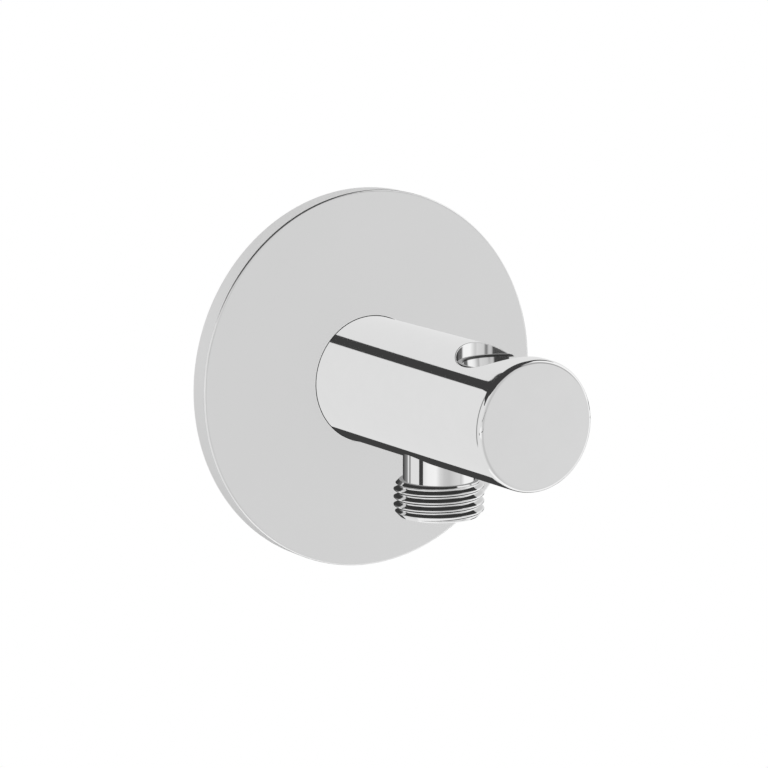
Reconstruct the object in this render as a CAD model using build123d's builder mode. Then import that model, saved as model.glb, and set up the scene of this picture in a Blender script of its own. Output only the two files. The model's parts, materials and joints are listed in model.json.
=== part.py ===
from build123d import *
import os
from math import radians, tan

# Wall outlet elbow with a handset holder, in millimetres.
# The origin is on the wall, on the axis of the body. The body runs from the wall along -Y,
# the hose outlet points down (-Z), and the hose slot of the holder opens to +X.
# Distances named "from_wall" are measured from the wall plane, along -Y.

# Pipe threads, as plain cylinders of the major diameter
g12_d = 20.955
g38_d = 16.662
thread_clearance = 0.05

# Wall plate
rosette_d = 90.0
rosette_t = 5.4
rosette_skin = 2.0
rosette_rim = 2.5
rosette_edge_r = 0.5
rosette_hole_clearance = 0.2
hub_wall = 4.8
hub_wall_gap = 0.6
wall_seal_w = 6.0
wall_seal_clearance = 0.1

# Ring that holds the plate on the body
rosette_ring_section = 1.5
rosette_ring_land = 1.5
rosette_groove_w = 1.8

# Body
body_d = 30.0
body_wall_gap = 1.0
body_edge_r = 1.0
outlet_from_wall = 35.2
chamber_d = 14.0
chamber_overrun = 6.4
drill_point_angle = 118.0
front_wall = 4.8
outlet_socket_depth = 7.0
cross_bore_d = 11.6

# Handset holder
holder_lip = 1.9
holder_back_wall = 2.4
holder_floor = 6.0
seat_top_d = 19.4
seat_bottom_d = 15.0
hose_slot_w = 14.6
hose_way_margin = 0.2
holder_corner_r = 0.5
holder_rim_r = 0.2
sleeve_wall = 1.25
sleeve_recess = 3.0
sleeve_clearance = 0.05
sleeve_chamfer = 0.4
sleeve_setback = 0.1

# Wall nipple
wall_thread_l = 16.0
wall_thread_lead = 1.2
thread_relief_w = 1.6
thread_relief_depth = 1.4
spigot_d = 20.0
spigot_clearance = 0.05
spigot_end_gap = 0.5
spigot_chamfer = 0.8
socket_land = 2.3
socket_lead = 0.8
nipple_bore_d = 11.0
nipple_key_af = 12.0
nipple_key_depth = 10.0

# Seals on the spigot
spigot_ring_section = 1.65
spigot_groove_w = 2.2
spigot_ring_edge = 2.6
spigot_ring_pitch = 4.0

# Grub screw
grub_d = 5.0
grub_from_plate = 6.6
grub_recess = 0.6
grub_chamfer = 0.75
grub_key_af = 2.5
grub_key_depth = 2.2
grub_groove_depth = 1.0
grub_groove_play = 0.1
grub_tip_gap = 0.02

# Hose outlet
neck_l = 3.8
outlet_thread_l = 8.5
outlet_lead = 1.4
outlet_top_chamfer = 1.1
outlet_key_af = 12.0
outlet_way_d = 10.0
outlet_shoulder_t = 1.3
gasket_t = 1.0
gasket_clearance = 0.1

# Non-return valve
cartridge_d = 13.2
cartridge_clearance = 0.1
valve_seat_l = 3.9
valve_seat_way_d = 7.2
valve_lip_d = 8.4
valve_lip_depth = 0.4
valve_ring_section = 1.1
valve_groove_w = 1.6
valve_groove_edge = 0.9
cage_l = 6.9
cage_wall = 1.2
spider_t = 1.4
spider_hub_d = 6.0
spider_rib_w = 1.2
spider_ribs = 4
poppet_d = 8.8
poppet_disc_t = 1.0
poppet_stem_d = 2.0
poppet_stem_clearance = 0.08
poppet_stem_in_hub = 0.7
poppet_nose_d = 4.8
poppet_nose_t = 0.6
poppet_neck_d = 3.2
poppet_seal_t = 0.9
poppet_seal_inset = 0.1
poppet_seal_gap = 0.1
spring_d = 4.8
spring_wire_d = 0.45
spring_wire_side_count = 8
spring_turns = 3.5
spring_end_gap = 0.03

# Values worked out from those above
g12_r = g12_d / 2
g38_r = g38_d / 2
body_r = body_d / 2
rosette_r = rosette_d / 2
rosette_hole_r = body_r + rosette_hole_clearance
rosette_groove_r = body_r + rosette_ring_section
rosette_back = rosette_t - rosette_skin
hub_r = rosette_hole_r + hub_wall

outlet_hole_r = g38_r + thread_clearance
chamber_r = chamber_d / 2
chamber_end = outlet_from_wall + chamber_overrun
chamber_tip = chamber_end + chamber_r / tan(radians(drill_point_angle / 2))
socket_end = outlet_from_wall - outlet_hole_r - socket_land
spigot_r = spigot_d / 2
socket_r = spigot_r + spigot_clearance
spigot_end = socket_end - spigot_end_gap

sleeve_r = seat_top_d / 2 + sleeve_wall
holder_r = sleeve_r + sleeve_clearance
holder_offset_x = body_r - holder_lip - holder_r
hose_way_r = hose_slot_w / 2 + hose_way_margin
holder_from_wall = chamber_tip + holder_back_wall + holder_r
holder_floor_z = -(body_r - holder_floor)
body_projection = holder_from_wall + holder_r + front_wall
sleeve_top_z = body_r - sleeve_recess

outlet_ceiling_z = -(body_r - outlet_socket_depth)
nipple_top_z = outlet_ceiling_z - gasket_t
neck_end_z = -(body_r + neck_l)
outlet_end_z = neck_end_z - outlet_thread_l
cartridge_r = cartridge_d / 2
cartridge_bore_r = cartridge_r + cartridge_clearance
cartridge_top_z = nipple_top_z - cartridge_clearance
cage_top_z = cartridge_top_z - valve_seat_l
cage_bottom_z = cage_top_z - cage_l
shoulder_bottom_z = cage_bottom_z - outlet_shoulder_t

cage_inner_r = cartridge_r - cage_wall
hub_top_z = cage_bottom_z + spider_t
lip_z = cage_top_z + valve_lip_depth
seal_top_z = lip_z - poppet_seal_gap
disc_top_z = seal_top_z - poppet_seal_t
disc_bottom_z = disc_top_z - poppet_disc_t
stem_end_z = hub_top_z - poppet_stem_in_hub

grub_from_wall = rosette_t + grub_from_plate
grub_r = grub_d / 2
grub_groove_r = spigot_r - grub_groove_depth
grub_tip_z = -(grub_groove_r + grub_tip_gap)
grub_head_z = -(body_r - grub_recess)

# Frame of the body's profile, on the plain side away from the hose slot: local X is the radius
body_plane = Plane(origin=(0, 0, 0), x_dir=(-1, 0, 0), z_dir=(0, 0, -1))
# Frames of the upright pieces: local X is the radius, local Y is the height
outlet_plane = Plane(origin=(0, -outlet_from_wall, 0), x_dir=(1, 0, 0), z_dir=(0, -1, 0))
outlet_axis = Axis((0, -outlet_from_wall, 0), (0, 0, 1))
holder_plane = Plane(origin=(holder_offset_x, -holder_from_wall, 0), x_dir=(1, 0, 0), z_dir=(0, -1, 0))
holder_axis = Axis((holder_offset_x, -holder_from_wall, 0), (0, 0, 1))
grub_plane = Plane(origin=(0, -grub_from_wall, 0), x_dir=(1, 0, 0), z_dir=(0, -1, 0))
grub_axis = Axis((0, -grub_from_wall, 0), (0, 0, 1))

# Cuts through the body are drawn this far below it
below_body_z = -body_d
holder_slot_l = body_d

os.makedirs("parts", exist_ok=True)


# Body: a round bar, drilled from the wall side for the spigot and the water
with BuildPart() as body:
    with BuildSketch(body_plane):
        with BuildLine():
            Polyline(
                (0, -body_projection),
                (body_r, -body_projection),
                (body_r, -body_wall_gap),
                (socket_r + socket_lead, -body_wall_gap),
                (socket_r, -body_wall_gap - socket_lead),
                (socket_r, -socket_end),
                (chamber_r, -socket_end),
                (chamber_r, -chamber_end),
                (0, -chamber_tip),
                close=True,
            )
        make_face()
    revolve(axis=Axis.Y)
    fillet(body.edges().sort_by(Axis.Y)[0], radius=body_edge_r)
    # Threaded hole for the outlet nipple, and the way up into the water chamber
    with BuildSketch(Plane.XY.offset(below_body_z)):
        with Locations((0, -outlet_from_wall)):
            Circle(outlet_hole_r)
    extrude(amount=outlet_ceiling_z - below_body_z, mode=Mode.SUBTRACT)
    with BuildSketch(Plane.XY.offset(outlet_ceiling_z)):
        with Locations((0, -outlet_from_wall)):
            Circle(cross_bore_d / 2)
    extrude(amount=-outlet_ceiling_z, mode=Mode.SUBTRACT)
    # Threaded hole for the grub screw
    with BuildSketch(Plane.XY.offset(below_body_z)):
        with Locations((0, -grub_from_wall)):
            Circle(grub_r + thread_clearance)
    extrude(amount=-grub_groove_r - below_body_z, mode=Mode.SUBTRACT)
    # Holder bore down to the floor that the sleeve stands on, then the narrower hose way through the floor.
    # Both are open to +X over the width of the hose slot.
    for way_r, way_bottom_z, way_l in (
        (holder_r, holder_floor_z, body_d),
        (hose_way_r, below_body_z, holder_floor_z - below_body_z),
    ):
        with BuildSketch(Plane.XY.offset(way_bottom_z)) as holder_way:
            with Locations((holder_offset_x, -holder_from_wall)):
                Circle(way_r)
            with Locations((holder_offset_x + holder_slot_l / 2, -holder_from_wall)):
                Rectangle(holder_slot_l, hose_slot_w)
            slot_corners = holder_way.vertices().filter_by_position(Axis.X, holder_offset_x, body_r)
            fillet(slot_corners, radius=holder_corner_r)
        extrude(amount=way_l, mode=Mode.SUBTRACT)
    # Rounded rim of the holder, where its walls meet the round of the body
    body_side = body.faces().filter_by(GeomType.CYLINDER).sort_by(SortBy.AREA)[-1]
    holder_rim = body_side.edges().filter_by_position(
        Axis.Y, -(holder_from_wall + holder_r), -(holder_from_wall - holder_r)
    )
    fillet(holder_rim.filter_by(GeomType.LINE, reverse=True), radius=holder_rim_r)
body.part.label = "body"
export_step(body.part, "parts/body.step")


# Rosette: turned plate with a rim against the wall and a hub round the body
with BuildPart() as rosette:
    with BuildSketch(Plane.XY):
        with BuildLine():
            Polyline(
                (rosette_hole_r, -rosette_t),
                (rosette_r, -rosette_t),
                (rosette_r, 0),
                (rosette_r - rosette_rim, 0),
                (rosette_r - rosette_rim, -rosette_back),
                (hub_r, -rosette_back),
                (hub_r, -hub_wall_gap),
                (rosette_hole_r, -hub_wall_gap),
                (rosette_hole_r, -rosette_t + rosette_ring_land + rosette_groove_w),
                (rosette_groove_r, -rosette_t + rosette_ring_land + rosette_groove_w),
                (rosette_groove_r, -rosette_t + rosette_ring_land),
                (rosette_hole_r, -rosette_t + rosette_ring_land),
                close=True,
            )
        make_face()
    revolve(axis=Axis.Y)
    front_edges = rosette.edges().group_by(Axis.Y)[0]
    fillet(front_edges.sort_by(SortBy.LENGTH)[-1], radius=rosette_edge_r)
rosette.part.label = "rosette"
export_step(rosette.part, "parts/rosette.step")

# Soft ring behind the plate, flush with the rim
with BuildPart() as wall_seal:
    with BuildSketch(Plane.XZ):
        Circle(rosette_r - rosette_rim - wall_seal_clearance)
        Circle(rosette_r - rosette_rim - wall_seal_clearance - wall_seal_w, mode=Mode.SUBTRACT)
    extrude(amount=rosette_back)
wall_seal.part.label = "wall_seal"
export_step(wall_seal.part, "parts/wall_seal.step")


# Wall nipple: pipe thread into the wall, spigot into the body, key socket in its front end
ring_r = spigot_r - spigot_ring_section + spigot_clearance
ring_centres = [spigot_end - spigot_ring_edge - spigot_ring_pitch, spigot_end - spigot_ring_edge]
with BuildPart() as wall_nipple:
    with BuildSketch(Plane.XY):
        with BuildLine():
            Polyline(
                (nipple_bore_d / 2, wall_thread_l),
                (g12_r - wall_thread_lead, wall_thread_l),
                (g12_r, wall_thread_l - wall_thread_lead),
                (g12_r, -body_wall_gap),
                (g12_r - thread_relief_depth, -body_wall_gap),
                (g12_r - thread_relief_depth, -body_wall_gap - thread_relief_w),
                (spigot_r, -body_wall_gap - thread_relief_w),
                (spigot_r, -spigot_end + spigot_chamfer),
                (spigot_r - spigot_chamfer, -spigot_end),
                (nipple_bore_d / 2, -spigot_end),
                close=True,
            )
        make_face()
    revolve(axis=Axis.Y)
    # Grooves for the two seals and for the tip of the grub screw
    with BuildSketch(Plane.XY):
        for ring_from_wall in ring_centres:
            with Locations(((ring_r + spigot_d) / 2, -ring_from_wall)):
                Rectangle(spigot_d - ring_r, spigot_groove_w)
        with Locations(((grub_groove_r + spigot_d) / 2, -grub_from_wall)):
            Rectangle(spigot_d - grub_groove_r, grub_d + 2 * grub_groove_play)
    revolve(axis=Axis.Y, mode=Mode.SUBTRACT)
    with BuildSketch(Plane.XZ.offset(spigot_end)):
        RegularPolygon(nipple_key_af / 2, 6, major_radius=False)
    extrude(amount=-nipple_key_depth, mode=Mode.SUBTRACT)
wall_nipple.part.label = "wall_nipple"
export_step(wall_nipple.part, "parts/wall_nipple.step")


# Round sealing rings that lie round the body's axis, as seated
rings_on_axis = {
    "rosette_o_ring": (body_r, rosette_ring_section, rosette_t - rosette_ring_land - rosette_groove_w / 2),
    "spigot_o_ring_rear": (ring_r, spigot_ring_section, ring_centres[0]),
    "spigot_o_ring_front": (ring_r, spigot_ring_section, ring_centres[1]),
}
for ring_name, (inner_r, section_d, from_wall) in rings_on_axis.items():
    with BuildPart() as sealing_ring:
        with BuildSketch(Plane.XY):
            with Locations((inner_r + section_d / 2, -from_wall)):
                Circle(section_d / 2)
        revolve(axis=Axis.Y)
    sealing_ring.part.label = ring_name
    export_step(sealing_ring.part, f"parts/{ring_name}.step")


# Grub screw: headless, with a key socket below and a flat point in the groove of the spigot
with BuildPart() as grub_screw:
    with BuildSketch(grub_plane):
        with BuildLine():
            Polyline(
                (0, grub_head_z),
                (grub_r - grub_chamfer, grub_head_z),
                (grub_r, grub_head_z + grub_chamfer),
                (grub_r, grub_tip_z - grub_chamfer),
                (grub_r - grub_chamfer, grub_tip_z),
                (0, grub_tip_z),
                close=True,
            )
        make_face()
    revolve(axis=grub_axis)
    with BuildSketch(Plane.XY.offset(grub_head_z)):
        with Locations((0, -grub_from_wall)):
            RegularPolygon(grub_key_af / 2, 6, major_radius=False)
    extrude(amount=grub_key_depth, mode=Mode.SUBTRACT)
grub_screw.part.label = "grub_screw"
export_step(grub_screw.part, "parts/grub_screw.step")


# Holder sleeve: tapered seat for the handset, open to +X for the hose, trimmed to the round of the body
with BuildPart() as holder_sleeve:
    with BuildSketch(holder_plane):
        with BuildLine():
            Polyline(
                (seat_bottom_d / 2, holder_floor_z),
                (sleeve_r, holder_floor_z),
                (sleeve_r, sleeve_top_z - sleeve_chamfer),
                (sleeve_r - sleeve_chamfer, sleeve_top_z),
                (seat_top_d / 2, sleeve_top_z),
                close=True,
            )
        make_face()
    revolve(axis=holder_axis)
    with BuildSketch(Plane.XY.offset(below_body_z)):
        with Locations((holder_offset_x + holder_slot_l / 2, -holder_from_wall)):
            Rectangle(holder_slot_l, hose_slot_w)
    extrude(amount=2 * body_d, mode=Mode.SUBTRACT)
    with BuildSketch(Plane.XZ):
        Circle(body_r - sleeve_setback)
    extrude(amount=body_projection, mode=Mode.INTERSECT)
holder_sleeve.part.label = "holder_sleeve"
export_step(holder_sleeve.part, "parts/holder_sleeve.step")


# Outlet nipple: screwed into the body, holds the valve, and carries the hose thread
with BuildPart() as outlet_nipple:
    with BuildSketch(outlet_plane):
        with BuildLine():
            Polyline(
                (cartridge_bore_r, nipple_top_z),
                (g38_r, nipple_top_z),
                (g38_r, neck_end_z),
                (g12_r - outlet_top_chamfer, neck_end_z),
                (g12_r, neck_end_z - outlet_top_chamfer),
                (g12_r, outlet_end_z + outlet_lead),
                (g12_r - outlet_lead, outlet_end_z),
                (outlet_way_d / 2, outlet_end_z),
                (outlet_way_d / 2, cage_bottom_z),
                (cartridge_bore_r, cage_bottom_z),
                close=True,
            )
        make_face()
    revolve(axis=outlet_axis)
    with BuildSketch(Plane.XY.offset(outlet_end_z)):
        with Locations((0, -outlet_from_wall)):
            RegularPolygon(outlet_key_af / 2, 6, major_radius=False)
    extrude(amount=shoulder_bottom_z - outlet_end_z, mode=Mode.SUBTRACT)
outlet_nipple.part.label = "outlet_nipple"
export_step(outlet_nipple.part, "parts/outlet_nipple.step")

# Flat seal between the nipple and the ceiling of its hole, which also keeps the valve in
with BuildPart() as outlet_gasket:
    with BuildSketch(Plane.XY.offset(nipple_top_z)):
        with Locations((0, -outlet_from_wall)):
            Circle(g38_r - gasket_clearance)
            Circle(cross_bore_d / 2 + gasket_clearance, mode=Mode.SUBTRACT)
    extrude(amount=gasket_t)
outlet_gasket.part.label = "outlet_gasket"
export_step(outlet_gasket.part, "parts/outlet_gasket.step")


# Valve seat: inlet ring with a groove for its seal and a lip for the poppet
valve_groove_r = cartridge_bore_r - valve_ring_section
valve_groove_top_z = cartridge_top_z - valve_groove_edge
with BuildPart() as valve_seat:
    with BuildSketch(outlet_plane):
        with BuildLine():
            Polyline(
                (valve_seat_way_d / 2, cartridge_top_z),
                (cartridge_r, cartridge_top_z),
                (cartridge_r, valve_groove_top_z),
                (valve_groove_r, valve_groove_top_z),
                (valve_groove_r, valve_groove_top_z - valve_groove_w),
                (cartridge_r, valve_groove_top_z - valve_groove_w),
                (cartridge_r, cage_top_z),
                (cage_inner_r, cage_top_z),
                (valve_lip_d / 2, lip_z),
                (valve_seat_way_d / 2, lip_z),
                close=True,
            )
        make_face()
    revolve(axis=outlet_axis)
valve_seat.part.label = "valve_seat"
export_step(valve_seat.part, "parts/valve_seat.step")

with BuildPart() as valve_o_ring:
    with BuildSketch(outlet_plane):
        with Locations((valve_groove_r + valve_ring_section / 2, valve_groove_top_z - valve_groove_w / 2)):
            Circle(valve_ring_section / 2)
    revolve(axis=outlet_axis)
valve_o_ring.part.label = "valve_o_ring"
export_step(valve_o_ring.part, "parts/valve_o_ring.step")

# Valve cage: sleeve with a spider that guides the stem and carries the spring
with BuildPart() as valve_cage:
    with BuildSketch(Plane.XY.offset(cage_bottom_z)):
        with Locations((0, -outlet_from_wall)):
            Circle(cartridge_r)
            Circle(cage_inner_r, mode=Mode.SUBTRACT)
    extrude(amount=cage_l)
    with BuildSketch(Plane.XY.offset(cage_bottom_z)):
        with Locations((0, -outlet_from_wall)):
            Circle(spider_hub_d / 2)
            with PolarLocations(0, spider_ribs // 2, angular_range=180):
                Rectangle(2 * cage_inner_r + cage_wall, spider_rib_w)
            Circle(poppet_stem_d / 2 + poppet_stem_clearance, mode=Mode.SUBTRACT)
    extrude(amount=spider_t)
valve_cage.part.label = "valve_cage"
export_step(valve_cage.part, "parts/valve_cage.step")

# Valve poppet: disc with a guide stem below and a button above that holds the seal
with BuildPart() as valve_poppet:
    with BuildSketch(outlet_plane):
        with BuildLine():
            Polyline(
                (0, stem_end_z),
                (poppet_stem_d / 2, stem_end_z),
                (poppet_stem_d / 2, disc_bottom_z),
                (poppet_d / 2, disc_bottom_z),
                (poppet_d / 2, disc_top_z),
                (poppet_neck_d / 2, disc_top_z),
                (poppet_neck_d / 2, seal_top_z),
                (poppet_nose_d / 2, seal_top_z),
                (poppet_neck_d / 2, seal_top_z + poppet_nose_t),
                (0, seal_top_z + poppet_nose_t),
                close=True,
            )
        make_face()
    revolve(axis=outlet_axis)
valve_poppet.part.label = "valve_poppet"
export_step(valve_poppet.part, "parts/valve_poppet.step")

with BuildPart() as poppet_seal:
    with BuildSketch(Plane.XY.offset(disc_top_z)):
        with Locations((0, -outlet_from_wall)):
            Circle(poppet_d / 2 - poppet_seal_inset)
            Circle(poppet_neck_d / 2, mode=Mode.SUBTRACT)
    extrude(amount=poppet_seal_t)
poppet_seal.part.label = "poppet_seal"
export_step(poppet_seal.part, "parts/poppet_seal.step")

# Valve spring: between the spider's hub and the poppet's disc. Flats stand for the round of its thin wire.
spring_wire_r = spring_wire_d / 2
spring_start_z = hub_top_z + spring_wire_r + spring_end_gap
spring_rise = disc_bottom_z - hub_top_z - spring_wire_d - 2 * spring_end_gap
with BuildPart() as valve_spring:
    with BuildLine() as coil:
        Helix(
            pitch=spring_rise / spring_turns,
            height=spring_rise,
            radius=spring_d / 2 - spring_wire_r,
            center=(0, -outlet_from_wall, spring_start_z),
        )
    with BuildSketch(Plane(origin=coil.line @ 0, z_dir=coil.line % 0)):
        RegularPolygon(spring_wire_r, spring_wire_side_count)
    sweep(is_frenet=True)
valve_spring.part.label = "valve_spring"
export_step(valve_spring.part, "parts/valve_spring.step")
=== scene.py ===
"""Wall outlet elbow with a handset holder.

Dresses the packed solids of the fitting: polished body and rosette with exact normals, cut threads,
a coiled valve spring, the finish of every piece, and a plain white studio.
"""
import json
import math
import bmesh
import bpy
import numpy as np
from mathutils import Matrix, Vector
from mathutils.geometry import delaunay_2d_cdt


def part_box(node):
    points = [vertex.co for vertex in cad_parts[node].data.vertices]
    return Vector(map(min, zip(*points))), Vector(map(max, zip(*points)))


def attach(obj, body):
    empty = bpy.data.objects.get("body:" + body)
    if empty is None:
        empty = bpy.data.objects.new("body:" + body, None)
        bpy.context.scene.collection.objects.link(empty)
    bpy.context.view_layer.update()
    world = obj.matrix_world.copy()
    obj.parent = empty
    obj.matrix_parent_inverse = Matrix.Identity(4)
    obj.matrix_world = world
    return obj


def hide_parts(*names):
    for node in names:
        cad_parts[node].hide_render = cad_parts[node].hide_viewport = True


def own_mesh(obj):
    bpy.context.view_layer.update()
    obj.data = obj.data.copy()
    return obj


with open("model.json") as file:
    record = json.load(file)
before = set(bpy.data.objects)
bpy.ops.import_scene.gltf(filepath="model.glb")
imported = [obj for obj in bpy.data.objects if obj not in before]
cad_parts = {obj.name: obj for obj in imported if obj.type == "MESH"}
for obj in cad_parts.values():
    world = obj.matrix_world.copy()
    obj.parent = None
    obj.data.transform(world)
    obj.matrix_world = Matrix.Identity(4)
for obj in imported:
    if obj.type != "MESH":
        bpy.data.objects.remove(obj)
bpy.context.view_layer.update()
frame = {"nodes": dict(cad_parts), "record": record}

bl_info = {
    "name": "Wall outlet elbow",
    "version": (1, 0, 0),
    "blender": (4, 5, 0),
    "location": "3D View > Sidebar > Elbow",
    "description": "Builds a wall outlet elbow with a hose thread and a handset holder",
    "category": "Add Mesh",
}

MM = 0.001
FULL_TURN = 2 * math.pi
# Steps in a full turn, and the angles of a turned piece
AROUND = 192
TURN = math.pi + np.linspace(0, FULL_TURN, AROUND + 1)
# Length of a face along a round with openings. Plain rounds have faces of up to twice that length
SPAN = 1.5 * MM
# Steps in the round of a corner and in the round on the rim of an opening
ARC_STEPS = 8
RIM_STEPS = 5
# Rows of faces along the threads, and steps in a turn and in the section of the spring's wire
OUTLET_ROWS = 144
WALL_ROWS = 220
GRUB_ROWS = 120
COIL_STEPS = 48
WIRE_SIDES = 16
# Points closer than this are joined
WELD = 0.002 * MM
# Sharp height and cut depth of a pipe thread and of a metric one, as parts of the pitch
PIPE_FORM = {"Sharp": 0.960491, "Depth": 0.640327}
METRIC_FORM = {"Sharp": 0.866025, "Depth": 0.613435}
# How softly a thread runs out into its chamfers, as a part of the pitch
RUN_OUT = 0.05
# How far behind the edge run the middle of the body's softened run lies, as a part of the softened run
SOFT_MIDDLE = 0.72
# Scale and detail of the cloud and of the grain on mirror plate, and the share of the rosette's cloud
PLATE_CLOUD = (260.0, 4.0)
PLATE_GRAIN = (420.0, 5.0)
SATIN_CLOUD = 0.15
# The floor's sides, colour and glow, and the lamp's place and size in metres and its power in watts
FLOOR_SIDES = 96
FLOOR_GREY = (0.8, 0.8, 0.8, 1.0)
FLOOR_GLOW = 0.3
LAMP_PLACE = (-1.3, -1.2, 1.7)
LAMP_SIZE = 1.6
LAMP_POWER = 60.0

# Brightness of the studio round the upright, as angles from +Y towards +X in degrees and levels
LEVELS = (
    (-180, 0.58), (-165, 0.62), (-152, 0.74), (-138, 1.0), (-112, 0.97), (-98, 0.85), (-80, 0.82),
    (0, 0.81), (60, 0.82), (85, 1.0), (122, 1.0), (138, 0.64), (145, 0.755), (148.5, 0.708),
    (152, 0.715), (165, 0.66), (180, 0.58),
)

MOUNTS = {mount["name"]: mount for mount in frame["record"]["mounts"]}
COLOURS = {slot["slot"]: slot["base_color"] for slot in frame["record"]["materials"]}
BODY_LOW, BODY_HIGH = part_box("body")
PLATE_LOW, PLATE_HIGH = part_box("rosette")
SEAL_LOW, SEAL_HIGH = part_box("wall_seal")
OUTLET_LOW, OUTLET_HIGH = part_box("outlet_nipple")
SLEEVE_LOW, SLEEVE_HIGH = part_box("holder_sleeve")
NIPPLE_LOW, NIPPLE_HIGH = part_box("wall_nipple")
GRUB_LOW, GRUB_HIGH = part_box("grub_screw")
GRUB_Y = (GRUB_LOW[1] + GRUB_HIGH[1]) / 2
SPRING_LOW, SPRING_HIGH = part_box("valve_spring")


# Settings that a user may change

def length(name, description, default):
    """A length, kept in metres."""
    return bpy.props.FloatProperty(
        name=name, description=description, default=default, precision=6, unit="LENGTH"
    )


def share(name, description, default):
    """A value between 0 and 1."""
    return bpy.props.FloatProperty(
        name=name, description=description, default=default, min=0, max=1, subtype="FACTOR"
    )


def angle(name, description, degrees):
    """An angle, given in degrees and kept in radians."""
    return bpy.props.FloatProperty(
        name=name, description=description, default=math.radians(degrees), subtype="ANGLE"
    )


def colour(name, description, default):
    """A colour, as the record writes it."""
    return bpy.props.FloatVectorProperty(
        name=name, description=description, default=default, size=3, min=0, max=1, subtype="COLOR"
    )


def point(name, description, millimetres):
    """A point, given in millimetres and kept in metres."""
    return bpy.props.FloatVectorProperty(
        name=name, description=description, default=[part * MM for part in millimetres], size=3,
        subtype="TRANSLATION", unit="LENGTH"
    )


class BodySizes(bpy.types.PropertyGroup):
    """Sizes of the round body and of the ways drilled in it"""
    radius: length("Radius", "Outer radius of the body", -BODY_LOW[0])
    front: length("Front", "Place of the end face along Y", BODY_LOW[1])
    rear: length("Rear", "Place of the end at the wall along Y", BODY_HIGH[1])
    front_round: length("Front round", "Round of the front edge", 1.0 * MM)
    soft_run: length("Softened run", "Length of side behind that round that polishing rolls off", 2.0 * MM)
    soft_lean: angle("Softened lean", "Slope of the side at the end of that run", 0.5)
    edge_run: length("Edge run", "Distance from the end face at which the slope grows", 1.25 * MM)
    edge_round: length("Edge round", "Round where the slope grows", 5.0 * MM)
    edge_lean: angle("Edge lean", "Slope of the side where it meets the front round", 10.0)
    rear_round: length("Rear round", "Round of the edge at the wall", 0.2 * MM)
    socket_radius: length("Socket radius", "Radius of the socket for the wall nipple", 10.05 * MM)
    socket_lead: length("Socket lead", "Chamfer at the mouth of the socket", 0.8 * MM)
    socket_end: length("Socket end", "Floor of the socket along Y", NIPPLE_LOW[1] - 0.5 * MM)
    chamber_radius: length("Chamber radius", "Radius of the water chamber", 7.0 * MM)
    chamber_end: length("Chamber end", "End of the round part of the chamber along Y", -41.6 * MM)
    chamber_tip: length("Chamber tip", "Tip of the drill point along Y", -45.806 * MM)
    outlet_radius: length("Outlet hole radius", "Radius of the hole for the outlet nipple", 8.381 * MM)
    outlet_ceiling: length("Outlet ceiling", "Height of the ceiling of that hole", -8.0 * MM)
    cross_radius: length("Cross way radius", "Radius of the way up into the chamber", 5.8 * MM)
    grub_radius: length("Grub hole radius", "Radius of the hole for the grub screw", 2.55 * MM)
    hole_rim: length("Hole rim", "Round on the rims of the two lower holes", 0.15 * MM)


class HolderSizes(bpy.types.PropertyGroup):
    """Sizes of the handset holder and of its sleeve"""
    sleeve_radius: length("Sleeve radius", "Outer radius of the sleeve", (SLEEVE_HIGH[1] - SLEEVE_LOW[1]) / 2)
    sleeve_play: length("Sleeve play", "Gap between sleeve and bore", 0.05 * MM)
    floor: length("Floor", "Height of the floor that the sleeve stands on", SLEEVE_LOW[2])
    way_radius: length("Hose way radius", "Radius of the way through the floor", 7.5 * MM)
    slot_half: length("Half slot", "Half the width of the hose slot", 7.3 * MM)
    corner: length("Corner", "Round between bore and slot", 0.5 * MM)
    rim: length("Rim", "Round of the rim on the outside of the body", 0.2 * MM)
    seat_top: length("Seat top", "Radius of the seat at its top", 9.7 * MM)
    seat_bottom: length("Seat bottom", "Radius of the seat at its bottom", 7.5 * MM)
    sleeve_top: length("Sleeve top", "Height of the top of the sleeve", SLEEVE_HIGH[2])
    sleeve_chamfer: length("Sleeve chamfer", "Chamfer on the outside of the top", 0.4 * MM)
    sleeve_edge: length("Sleeve edge", "Round on the edges of the sleeve", 0.25 * MM)
    setback: length("Setback", "How far the sleeve stays behind the outside of the body", 0.1 * MM)


class PlateSizes(bpy.types.PropertyGroup):
    """Sizes of the rosette and of the soft ring behind it"""
    radius: length("Radius", "Outer radius of the rosette", 45.0 * MM)
    front: length("Front", "Place of the front face along Y", PLATE_LOW[1])
    edge: length("Edge", "Round of the front edge", 0.5 * MM)
    small_edge: length("Small edge", "Round on the other edges", 0.2 * MM)
    rim: length("Rim", "Width of the rim on the wall", 2.5 * MM)
    skin: length("Skin", "Thickness behind the front face", 2.0 * MM)
    hole: length("Hole", "Radius of the hole for the body", 15.2 * MM)
    hub: length("Hub", "Outer radius of the hub", 20.0 * MM)
    hub_gap: length("Hub gap", "Gap between hub and wall", 0.6 * MM)
    groove: length("Groove", "Radius of the groove for the ring", 16.5 * MM)
    groove_width: length("Groove width", "Width of that groove", 1.8 * MM)
    groove_land: length("Groove land", "Wall in front of that groove", 1.5 * MM)
    # The thin lip is a black ring that stands in for the shadow in the gap round the body: painted shade
    shade_ring_play: length("Lip play", "Gap on both sides of the thin lip round the body", 0.005 * MM)
    shade_ring_setback: length("Lip setback", "How far that lip stays behind the front face", 0.1 * MM)
    seal_outer: length("Seal outside", "Outer radius of the soft ring", 42.4 * MM)
    seal_width: length("Seal width", "Width of the soft ring", 6.0 * MM)
    seal_edge: length("Seal edge", "Round on the edges of the soft ring", 0.7 * MM)


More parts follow.
